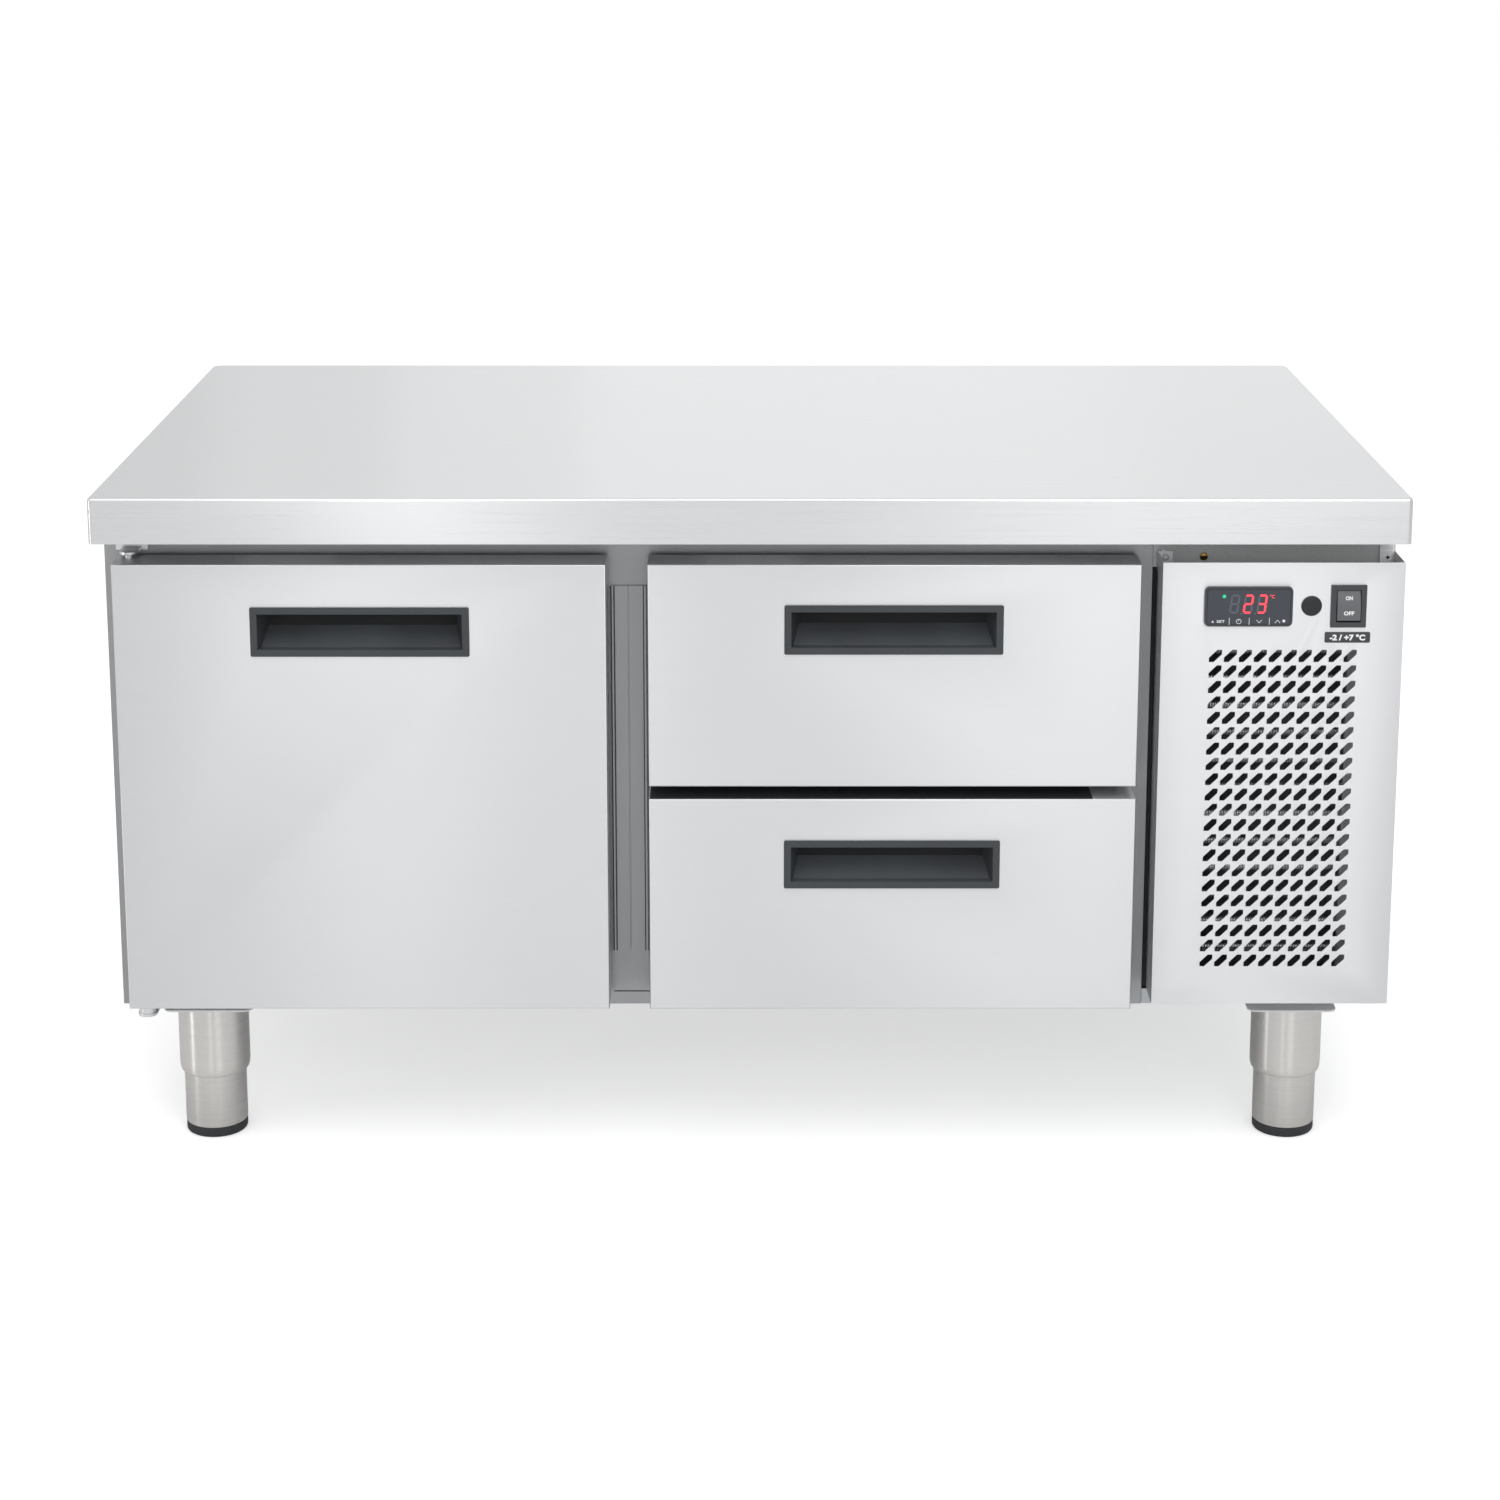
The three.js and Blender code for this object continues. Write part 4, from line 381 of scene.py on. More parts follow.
def rgba(colour_value):
    """A colour property as the four values of a socket."""
    return (*colour_value, 1.0)


def new_material(name):
    """A material with an empty node tree."""
    material = bpy.data.materials.new(name)
    material.use_nodes = True
    material.node_tree.nodes.clear()
    return material


def close_material(material, shader):
    """Links the shader to the material's output."""
    tree = material.node_tree
    add_node(tree, "ShaderNodeOutputMaterial", {"Surface": shader})
    material.diffuse_color = VIEWPORT_GREY
    return material


def brushed_steel(
        name, base, roughness, grain_scale, shade=0.03, relief=0.12, blur=0.06, anisotropy=0.0, uv=False,
        turned=0.25):
    """Metal ground with a belt, with fine lines along the grain.

    The lines are under 0.1 mm on the real sheet. They are drawn about 1 mm wide, which is as fine as shows.
    The blur of what it mirrors runs across the grain: turned is a quarter for a level grain, and 0 for an
    upright one.
    """
    material = new_material(name)
    tree = material.node_tree
    coordinates = add_node(tree, "ShaderNodeTexCoord").outputs["UV" if uv else "Object"]
    stretched = add_node(tree, "ShaderNodeMapping", {"Vector": coordinates, "Scale": grain_scale})
    grain = add_node(
        tree, "ShaderNodeTexNoise",
        {"Vector": stretched.outputs["Vector"], "Scale": 1, "Detail": 3, "Roughness": 0.6})
    cloud = add_node(tree, "ShaderNodeTexNoise", {"Vector": coordinates, "Scale": 3.5, "Detail": 2})
    lines = add_node(
        tree, "ShaderNodeMapRange",
        {"Value": grain.outputs["Fac"], "From Min": 0.3, "From Max": 0.7,
         "To Min": 1 - shade, "To Max": 1 + shade})
    tone = add_node(
        tree, "ShaderNodeMix", {0: 1.0, 6: rgba(base), 7: lines.outputs["Result"]},
        data_type="RGBA", blend_type="MULTIPLY")
    rough = add_node(
        tree, "ShaderNodeMapRange",
        {"Value": grain.outputs["Fac"], "From Min": 0.25, "From Max": 0.75,
         "To Min": roughness - blur, "To Max": roughness + blur})
    smudged = add_node(
        tree, "ShaderNodeMath", {0: cloud.outputs["Fac"], 1: SMUDGE, 2: rough.outputs["Result"]},
        operation="MULTIPLY_ADD")
    bump = add_node(
        tree, "ShaderNodeBump", {"Height": grain.outputs["Fac"], "Strength": relief, "Distance": 0.0002})
    shader = add_node(
        tree, "ShaderNodeBsdfPrincipled",
        {"Base Color": tone.outputs[2], "Metallic": 1.0, "Roughness": smudged.outputs["Value"],
         "Normal": bump.outputs["Normal"]})
    if anisotropy:
        shader.inputs["Anisotropic"].default_value = anisotropy
        shader.inputs["Anisotropic Rotation"].default_value = turned
        along = add_node(tree, "ShaderNodeTangent", direction_type="UV_MAP" if uv else "RADIAL")
        tree.links.new(along.outputs["Tangent"], shader.inputs["Tangent"])
    return close_material(material, shader.outputs["BSDF"])


def coated(name, base, roughness, metallic=0.0, grain=900.0, shade=0.05, relief=0.2, distance=0.0001):
    """A moulded, painted or cast surface: one colour with a fine even texture in its shade and relief."""
    material = new_material(name)
    tree = material.node_tree
    coordinates = add_node(tree, "ShaderNodeTexCoord").outputs["Object"]
    speckle = add_node(
        tree, "ShaderNodeTexNoise",
        {"Vector": coordinates, "Scale": grain, "Detail": 3.0, "Roughness": 0.55})
    cloud = add_node(tree, "ShaderNodeTexNoise", {"Vector": coordinates, "Scale": 14, "Detail": 2})
    both = add_node(
        tree, "ShaderNodeMath", {0: speckle.outputs["Fac"], 1: cloud.outputs["Fac"]}, operation="ADD")
    mottle = add_node(
        tree, "ShaderNodeMapRange",
        {"Value": both.outputs["Value"], "From Min": 0.7, "From Max": 1.3,
         "To Min": 1 - shade, "To Max": 1 + shade})
    tone = add_node(
        tree, "ShaderNodeMix", {0: 1.0, 6: rgba(base), 7: mottle.outputs["Result"]},
        data_type="RGBA", blend_type="MULTIPLY")
    rough = add_node(
        tree, "ShaderNodeMapRange",
        {"Value": cloud.outputs["Fac"], "From Min": 0.3, "From Max": 0.7,
         "To Min": roughness - 0.04, "To Max": roughness + 0.04})
    bump = add_node(
        tree, "ShaderNodeBump", {"Height": speckle.outputs["Fac"], "Strength": relief, "Distance": distance})
    shader = add_node(
        tree, "ShaderNodeBsdfPrincipled",
        {"Base Color": tone.outputs[2], "Metallic": metallic, "Roughness": rough.outputs["Result"],
         "Normal": bump.outputs["Normal"]})
    return close_material(material, shader.outputs["BSDF"])


def glowing(name, base, strength):
    """A lit segment: its own light, a little uneven as behind a diffuser."""
    material = new_material(name)
    tree = material.node_tree
    coordinates = add_node(tree, "ShaderNodeTexCoord").outputs["Object"]
    cloud = add_node(tree, "ShaderNodeTexNoise", {"Vector": coordinates, "Scale": 400, "Detail": 1})
    glow = add_node(
        tree, "ShaderNodeMapRange", {"Value": cloud.outputs["Fac"], "To Min": 0.9, "To Max": 1.1})
    tone = add_node(
        tree, "ShaderNodeMix", {0: 1.0, 6: rgba(base), 7: glow.outputs["Result"]},
        data_type="RGBA", blend_type="MULTIPLY")
    shader = add_node(
        tree, "ShaderNodeBsdfPrincipled",
        {"Base Color": tone.outputs[2], "Roughness": 0.4, "Emission Color": tone.outputs[2],
         "Emission Strength": strength})
    return close_material(material, shader.outputs["BSDF"])


def make_materials(finish):
    """Every material of the part, by its short name."""
    return {
        # Cold-rolled AISI 304, belt-ground: a soft mirror with lines from left to right
        "worktop": brushed_steel(
            "Worktop brushed stainless", finish.worktop_steel, 0.26, ALONG_UV, shade=0.014, relief=0.06,
            blur=0.03, anisotropy=0.85, uv=True),
        # The same sheet in a satin finish: blurrier, with fainter lines
        "front": brushed_steel(
            "Front satin stainless", finish.front_steel, 0.36, ALONG_UV, shade=0.012, relief=0.06,
            blur=0.03, anisotropy=0.88, uv=True),
        # The same satin on the thinner casing sheet: a little glossier
        "casing": brushed_steel(
            "Casing satin stainless", finish.casing_steel, 0.32, ALONG_UV, anisotropy=0.5, uv=True),
        # Profiles and folded strips, ground along their length: their lines stand upright. Their colour is
        # painted darker than the fronts' steel, as the shade behind the fronts and under the worktop's
        # overhang
        "frame": brushed_steel(
            "Frame upright-ground stainless", finish.frame_steel, 0.4, UPRIGHT_UV, anisotropy=0.7, uv=True,
            turned=0.0),
        # Plain mill finish inside: an even soft shine
        "liner": brushed_steel("Liner satin stainless", finish.liner_steel, 0.36, ALONG_UV, uv=True),
        # Hot-dip zinc: patchy crystals, a few millimetres wide
        "galvanised": coated(
            "Galvanised hot-dip sheet", finish.galvanised, 0.42, 1.0, grain=120, shade=0.08, relief=0.05),
        # Open cut cells: rough and quite matt
        "foam": coated(
            "Polyurethane foam", finish.foam, 0.9, grain=700, shade=0.1, relief=0.6, distance=0.0004),
        # Extruded and moulded rubber: dull, with a faint bloom
        # It is also the dark of the painted shades on the cross rail, on the lower drawer's edge and beside
        # the door
        "rubber": coated("EPDM rubber", finish.rubber, 0.7, grain=1500, relief=0.2),
        # Fine spark-eroded texture of the mould: a broken, soft shine
        "handle": coated("Handle moulded ABS", finish.handle, 0.48, grain=2200, shade=0.12, relief=0.5),
        # The same plastic, with a coarser texture and more matt: the pocket's floor is painted paler as a
        # painted light, and its back is painted dark as a painted shade
        "pocket_floor_painted_light": coated(
            "Handle pocket floor ABS", finish.pocket_floor_painted_light, 0.62, grain=1400, shade=0.2, relief=0.7),
        "pocket_back_painted_shade": coated(
            "Handle pocket back ABS", finish.pocket_back_painted_shade, 0.85, grain=1400, shade=0.2, relief=0.7),
        # Finer mould textures: an even half shine
        "control": coated("Control moulded ABS", finish.control, 0.4, grain=2500, relief=0.25),
        "rocker": coated("Rocker moulded nylon", finish.rocker, 0.34, grain=1800, relief=0.2),
        # Polished moulding: clear reflections over a dark ground, with unlit segments just showing
        "window": coated(
            "Window smoked polycarbonate", finish.window, 0.16, grain=300, shade=0.02, relief=0.02),
        "ghost": coated(
            "Display unlit segment", [share * GHOST_GAIN for share in finish.window], 0.3, grain=300,
            shade=0.02),
        # Light from behind a diffuser: an even glow
        "digit": glowing("Display lit segment", finish.lit_digit, 0.9),
        "lamp": glowing("Pilot lamp", finish.lit_lamp, 0.8),
        # Screen-printed ink: flat and matt
        "print": coated("Screen print", finish.print_white, 0.5, grain=900, shade=0.03),
        # Stoved paint: slight orange peel
        "black": coated("Black satin paint", finish.black_paint, 0.38, grain=600, shade=0.1, relief=0.15),
        # Rolled sheet: a soft shine with faint rolling lines
        "aluminium": brushed_steel("Aluminium rolled sheet", finish.aluminium, 0.3, AROUND, shade=0.05),
        # Fin stock, duller than the bare sheet, so that it also shows in the shade behind the slots
        "fin": coated("Fin rolled aluminium", finish.fin, 0.45, 0.3, grain=400, shade=0.06, relief=0.1),
        # Stainless given as a dull, even, pale grey with no metal shine: a painted light that keeps it pale
        # under the worktop's overhang and in other shade
        "rail": coated(
            "Rail dulled stainless", finish.worktop_steel, 0.45, 0.0, grain=300, shade=0.05, relief=0.1),
        # Drawn metal: bright, with faint lines along it
        # The condenser's tubes take a bright tone in place of copper: partly the aluminium collars around
        # them, partly painted light that keeps them bright between the fins
        "bright_tube": brushed_steel("Tube tinned copper", finish.wire, 0.22, ALONG_X, shade=0.03),
        "copper": brushed_steel("Tube drawn copper", finish.copper, 0.28, ALONG_X, shade=0.08),
        "wire": brushed_steel("Wire drawn stainless", finish.wire, 0.2, AROUND, shade=0.02),
        # Tube ground while it turns: lines around it, and upright streaks of light
        "foot": brushed_steel(
            "Foot brushed stainless", finish.foot_steel, 0.28, AROUND, shade=0.05, anisotropy=0.95),
        # Smooth pale moulding
        "box": coated("Box moulded ABS", finish.box_plastic, 0.45, grain=900, shade=0.02),
        # Turned head: a warm shine
        "brass": brushed_steel("Brass turned", finish.brass, 0.25, ALONG_X, shade=0.05),
    }


# The material of a node, by its slot
NODE_MATERIAL = {
    "worktop_steel": "worktop", "front_steel": "casing", "frame_steel": "frame", "liner_steel": "liner",
    "filled_panel": "liner", "foam": "foam", "gasket_rubber": "rubber", "handle_plastic": "handle",
    "control_plastic": "control", "window_plastic": "window", "box_plastic": "box",
    "galvanised": "galvanised", "fin_aluminium": "aluminium", "black_paint": "black",
    "copper_tube": "copper", "wire_steel": "wire", "foot_steel": "foot",
}


def add_object(name, data):
    """Puts a new object in the scene."""
    made = bpy.data.objects.new(name, data)
    bpy.context.scene.collection.objects.link(made)
    return made


def lay_grain(bm):
    """Gives each face a flat map in metres, with U along the grain, which runs level."""
    layer = bm.loops.layers.uv.new("grain")
    for face in bm.faces:
        across_side = abs(face.normal.x) > max(abs(face.normal.y), abs(face.normal.z))
        for loop in face.loops:
            place = loop.vert.co
            loop[layer].uv = (place.y, place.z) if across_side else (place.x, place.y + place.z)


def finish_piece(name, bm, material, body, stands_for=(), smooth_angle=40):
    """Turns a finished shape into an object that rides on its body."""
    mesh = bpy.data.meshes.new(name)
    lay_grain(bm)
    bm.to_mesh(mesh)
    bm.free()
    mesh.shade_smooth()
    mesh.set_sharp_from_angle(angle=math.radians(smooth_angle))
    mesh.materials.append(MATERIALS[material])
    piece = add_object(name, mesh)
    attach(piece, body)
    if stands_for:
        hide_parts(*stands_for)
    return piece


def keep_corner_light(piece):
    """Keeps flat faces flat beside their rounded edges."""
    weights = piece.modifiers.new("weights", "WEIGHTED_NORMAL")
    weights.keep_sharp = True
    weights.weight = 80


def copy_of(node):
    """A node's shape with its loose triangles joined and its flat areas merged."""
    bm = bmesh.new()
    bm.from_mesh(NODES[node].data)
    bmesh.ops.remove_doubles(bm, verts=bm.verts, dist=0.02 * MM)
    bmesh.ops.dissolve_limit(bm, angle_limit=math.radians(0.4), verts=bm.verts, edges=bm.edges)
    return bm


def edges_of(verts):
    """The edges that meet at any of the vertices."""
    return list({e for v in verts for e in v.link_edges})


def bevel(bm, edges, width, segments, clamp=False):
    """Rounds the edges and returns what is new."""
    return bmesh.ops.bevel(
        bm, geom=edges, offset=width, offset_type="OFFSET", segments=segments, profile=0.5, affect="EDGES",
        material=-1, clamp_overlap=clamp)


def round_edges(bm, width, segments=EDGE_STEPS, angle=SHARP_ANGLE):
    """Rounds every edge that turns by more than an angle."""
    sharp = [
        e for e in bm.edges if len(e.link_faces) == 2 and e.calc_face_angle() > math.radians(angle)]
    bevel(bm, sharp, width, segments, clamp=True)


def body_of(node):
    """The name of the body that a node rides on."""
    return NODES[node]["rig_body"]


def fold_outline(bm, node, radius):
    """Rounds the edges of a front's outer outline, as a folded sheet is round."""
    low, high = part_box(node)
    near = 0.05 * MM

    def on_outline(place):
        sides = (place.x - low.x, high.x - place.x, place.z - low.z, high.z - place.z)
        return place.y - low.y < near and min(sides) < near

    outline = [e for e in bm.edges if all(on_outline(v.co) for v in e.verts)]
    bevel(bm, outline, radius, FOLD_STEPS, clamp=True)


def dress(node, material, width, name=None, segments=EDGE_STEPS, angle=SHARP_ANGLE, fold=0.0):
    """A piece that stands for one node, with its edges rounded."""
    bm = copy_of(node)
    if fold:
        fold_outline(bm, node, fold)
    round_edges(bm, width, segments, angle)
    piece = finish_piece(name or node + "_sheet", bm, material, body_of(node), [node])
    keep_corner_light(piece)
    return piece


def paint(node, material):
    """Gives a node that stays as it is its material."""
    data = NODES[node].data
    data.materials.clear()
    data.materials.append(MATERIALS[material])


def block(bm, low, high):
    """Adds a box between two corners and returns its vertices."""
    size = Vector(high) - Vector(low)
    middle = (Vector(high) + Vector(low)) / 2
    made = bmesh.ops.create_cube(bm, size=1.0)["verts"]
    bmesh.ops.scale(bm, vec=size, verts=made)
    bmesh.ops.translate(bm, vec=middle, verts=made)
    return made


def rod(bm, start, end, radius, sides):
    """Adds a round bar between two points."""
    start, end = Vector(start), Vector(end)
    line = end - start
    turn = Vector((0, 0, 1)).rotation_difference(line).to_matrix().to_4x4()
    made = bmesh.ops.create_cone(
        bm, cap_ends=True, segments=sides, radius1=radius, radius2=radius, depth=line.length)["verts"]
    bmesh.ops.transform(bm, matrix=Matrix.Translation((start + end) / 2) @ turn, verts=made)


def bent_rod(bm, start, turn, centre, axis, angle, radius, sides, steps):
    """Adds a round bar that bends about an axis through a centre. turn faces its first ring along it."""
    ring = bmesh.ops.create_circle(bm, segments=sides, radius=radius)["verts"]
    bmesh.ops.transform(bm, matrix=Matrix.Translation(start) @ turn, verts=ring)
    before = set(bm.faces)
    bmesh.ops.spin(
        bm, geom=ring + edges_of(ring), cent=centre, axis=axis, dvec=(0, 0, 0), angle=angle, steps=steps)
    made = [face for face in bm.faces if face not in before]
    rims = [e for e in {e for face in made for e in face.edges} if e.is_boundary]
    bmesh.ops.holes_fill(bm, edges=rims, sides=sides)
    bmesh.ops.recalc_face_normals(bm, faces=[face for face in bm.faces if face not in before])


def quarter(steps):
    """The angles of a quarter turn, in equal steps."""
    return [math.pi / 2 * i / steps for i in range(steps + 1)]


def curved_in(radius, foot, inset, rise, angles):
    """The profile of an upright side that curves in to its foot."""
    return [(radius - inset * (1 - math.cos(a)), foot + rise * (1 - math.sin(a))) for a in angles]


def dome(radius, rise, rim, steps):
    """The profile of a dome, from the middle of its top to its rim, which is a share of its rise."""
    return [(radius * math.sin(a), rise * (rim + (1 - rim) * math.cos(a))) for a in quarter(steps)]


def washer(bore, radius, sheet):
    """The profile of a flat ring that faces the front."""
    return [(bore, 0), (radius, 0), (radius, -sheet), (bore, -sheet), (bore, 0)]


def spun(bm, profile, centre, axis="Z", sides=64):
    """Turns a profile of (radius, height) points about an upright axis, or about one along Y."""
    before = set(bm.verts)
    made = [bm.verts.new((r, 0, h)) for r, h in profile]
    edges = [bm.edges.new(pair) for pair in zip(made, made[1:])]
    bmesh.ops.spin(
        bm, geom=made + edges, cent=(0, 0, 0), axis=(0, 0, 1), dvec=(0, 0, 0), angle=math.tau, steps=sides,
        use_merge=True)
    bmesh.ops.remove_doubles(bm, verts=[v for v in bm.verts if v not in before], dist=0.005 * MM)
    made = [v for v in bm.verts if v not in before]
    turn = Matrix.Rotation(-math.pi / 2, 4, "X") if axis == "Y" else Matrix.Identity(4)
    bmesh.ops.transform(bm, matrix=Matrix.Translation(centre) @ turn, verts=made)
    bmesh.ops.recalc_face_normals(bm, faces=list({face for v in made for face in v.link_faces}))


def prism(bm, centre, radius, depth, sides, radius_front=None):
    """Adds a prism that stands out from a front face, with a corner on top, and returns its vertices."""
    made = bmesh.ops.create_cone(
        bm, cap_ends=True, segments=sides, radius1=radius, radius2=radius_front or radius,
        depth=depth)["verts"]
    middle = Vector(centre) - Vector((0, depth / 2, 0))
    stand = Matrix.Translation(middle) @ Matrix.Rotation(math.pi / 2, 4, "X")
    bmesh.ops.transform(bm, matrix=stand, verts=made)
    return made


def stroke(bm, start, end, width, depth):
    """Adds a flat bar between two points of a front face, standing out by its depth."""
    start, end = Vector(start), Vector(end)
    line = end - start
    made = bmesh.ops.create_cube(bm, size=1.0)["verts"]
    bmesh.ops.scale(bm, vec=(line.length, depth, width), verts=made)
    turn = Matrix.Rotation(-math.atan2(line.z, line.x), 4, "Y")
    middle = (start + end) / 2 - Vector((0, depth / 2, 0))
    bmesh.ops.transform(bm, matrix=Matrix.Translation(middle) @ turn, verts=made)
    return made


def plate(bm, low, high, corner, edge):
    """Adds a plate that faces the front, with rounded corners and a softened front edge."""
    made = block(bm, low, high)
    deep = [
        e for e in edges_of(made) if abs(e.verts[0].co.y - e.verts[1].co.y) > (high[1] - low[1]) / 2]
    rounded = bevel(bm, deep, corner, PLATE_STEPS)["faces"]
    faces = set(rounded) | {f for face in rounded for e in face.edges for f in e.link_faces}
    front = [
        e for e in {e for face in faces for e in face.edges}
        if all(abs(v.co.y - low[1]) < edge / 4 for v in e.verts)
        and e.calc_face_angle() > math.radians(SHARP_ANGLE)]
    bevel(bm, front, edge, EDGE_STEPS)


def lettering(name, words, width, height, centre, material, body, tilt=0.0, weight=0.0):
    """Words as a thin printed mesh on a front face, fitted to a width and a height about a centre."""
    curve = bpy.data.curves.new(name, "FONT")
    curve.body = words
    curve.size = height
    curve.offset = weight
    curve.extrude = PRINT_DEPTH / 2
    curve.resolution_u = 3
    typed = add_object(name, curve)
    bpy.context.view_layer.update()
    mesh = bpy.data.meshes.new_from_object(typed)
    bpy.data.objects.remove(typed)
    bm = bmesh.new()
    bm.from_mesh(mesh)
    bpy.data.meshes.remove(mesh)
    bmesh.ops.remove_doubles(bm, verts=bm.verts, dist=0.001 * MM)
    low = Vector([min(v.co[i] for v in bm.verts) for i in range(3)])
    high = Vector([max(v.co[i] for v in bm.verts) for i in range(3)])
    bmesh.ops.translate(bm, vec=-(low + high) / 2, verts=bm.verts)
    bmesh.ops.scale(bm, vec=(width / (high.x - low.x), height / (high.y - low.y), 1), verts=bm.verts)
    stand = Matrix.Rotation(math.pi / 2 + tilt, 4, "X")
    bmesh.ops.transform(bm, matrix=Matrix.Translation(centre) @ stand, verts=bm.verts)
    return finish_piece(name, bm, material, body)


class CHEF_OT_stage(bpy.types.Operator):
    """Floor, lights, surround and camera"""

    bl_idname = "chef.stage"
    bl_label = "Stage"

    def execute(self, context):
        stage = context.scene.chef_stage
        scene = context.scene
        scene.view_settings.view_transform = "Standard"

        bm = bmesh.new()
        bmesh.ops.create_grid(bm, x_segments=1, y_segments=1, size=stage.floor_size / 2)
        mesh = bpy.data.meshes.new("floor")
        bm.to_mesh(mesh)
        bm.free()
        mesh.materials.append(self.floor_material(stage))
        add_object("floor", mesh)

        for name, setting, size, place, target in LAMPS:
            self.add_lamp(name, getattr(stage, setting), size, place, target)
        for left, right, share in BACK_LAMPS:
            middle, width = (left + right) / 2, right - left
            self.add_lamp(
                "back lamp %.1f" % middle, stage.back_power * share * width, (width, BACK_LAMP_HEIGHT),
                (middle, BACK_LAMP_Y, BACK_LAMP_Z), (middle, 0, BACK_TARGET_Z))
        self.add_surround(scene, stage)

        data = bpy.data.cameras.new("camera")
        data.lens = stage.camera_lens
        data.sensor_width = 36
        data.shift_y = stage.camera_shift
        camera = add_object("camera", data)
        camera.location = (0, -stage.camera_distance, stage.camera_height)
        camera.rotation_euler = (math.pi / 2 - stage.camera_pitch, 0, 0)
        scene.camera = camera
        return {"FINISHED"}

    def floor_material(self, stage):
        """Matt pale floor that takes the shadow, and shows white to the camera where it is lit."""
        material = new_material("Studio floor")
        tree = material.node_tree
        coordinates = add_node(tree, "ShaderNodeTexCoord").outputs["Object"]
        cloud = add_node(tree, "ShaderNodeTexNoise", {"Vector": coordinates, "Scale": 2, "Detail": 2})
        shade = add_node(
            tree, "ShaderNodeMapRange", {"Value": cloud.outputs["Fac"], "To Min": 0.99, "To Max": 1.0})
        tone = add_node(
            tree, "ShaderNodeMix", {0: 1.0, 6: rgba(stage.floor_colour), 7: shade.outputs["Result"]},
            data_type="RGBA", blend_type="MULTIPLY")
        lit = add_node(tree, "ShaderNodeBsdfDiffuse", {"Color": tone.outputs[2]})
        own = self.seen_level(tree, 0.0, stage.floor_glow, stage.metal_floor)
        glow = add_node(tree, "ShaderNodeEmission", {"Color": (1, 1, 1, 1), "Strength": own})
        both = add_node(tree, "ShaderNodeAddShader")
        tree.links.new(lit.outputs["BSDF"], both.inputs[0])
        tree.links.new(glow.outputs["Emission"], both.inputs[1])
        return close_material(material, both.outputs["Shader"])

    def seen_level(self, tree, matt, camera, metal):
        """A level for the light on matt surfaces, one for the camera, and one seen in metal and glass."""
        path = add_node(tree, "ShaderNodeLightPath")
        shiny = add_node(
            tree, "ShaderNodeMath",
            {0: path.outputs["Is Glossy Ray"], 1: path.outputs["Is Transmission Ray"]}, operation="MAXIMUM")
        in_metal = add_node(
            tree, "ShaderNodeMapRange", {"Value": shiny.outputs["Value"], "To Min": matt, "To Max": metal})
        return add_node(
            tree, "ShaderNodeMix",
            {0: path.outputs["Is Camera Ray"], 2: in_metal.outputs["Result"], 3: camera},
            data_type="FLOAT").outputs[0]

    def add_lamp(self, name, watts, size, place, target):
        """A large soft rectangular lamp."""
        data = bpy.data.lights.new(name, "AREA")
        data.shape = "RECTANGLE"
        data.size, data.size_y = size
        data.energy = watts
        lamp = add_object(name, data)
        lamp.location = place
        aim = (Vector(target) - Vector(place)).to_track_quat("-Z", "Y")
        lamp.rotation_euler = aim.to_euler()
        lamp.visible_camera = False

    def add_surround(self, scene, stage):
        """A pale surround: white to the camera and in the metal, and a plain level of light elsewhere."""
        world = bpy.data.worlds.new("surround")
        scene.world = world
        world.use_nodes = True
        tree = world.node_tree
        tree.nodes.clear()
        strength = self.seen_level(tree, stage.sky_level, 1.0, stage.metal_sky)
        sky = add_node(tree, "ShaderNodeBackground", {"Color": (1, 1, 1, 1), "Strength": strength})
        add_node(tree, "ShaderNodeOutputWorld", {"Surface": sky.outputs["Background"]})


class CHEF_OT_finishes(bpy.types.Operator):
    """Materials, and the finish of every node that stays as it is"""

    bl_idname = "chef.finishes"
    bl_label = "Finishes"

    def execute(self, context):
        MATERIALS.update(make_materials(context.scene.chef_finish))
        for node, slot in SLOT_OF.items():
            paint(node, NODE_MATERIAL[slot])
        return {"FINISHED"}


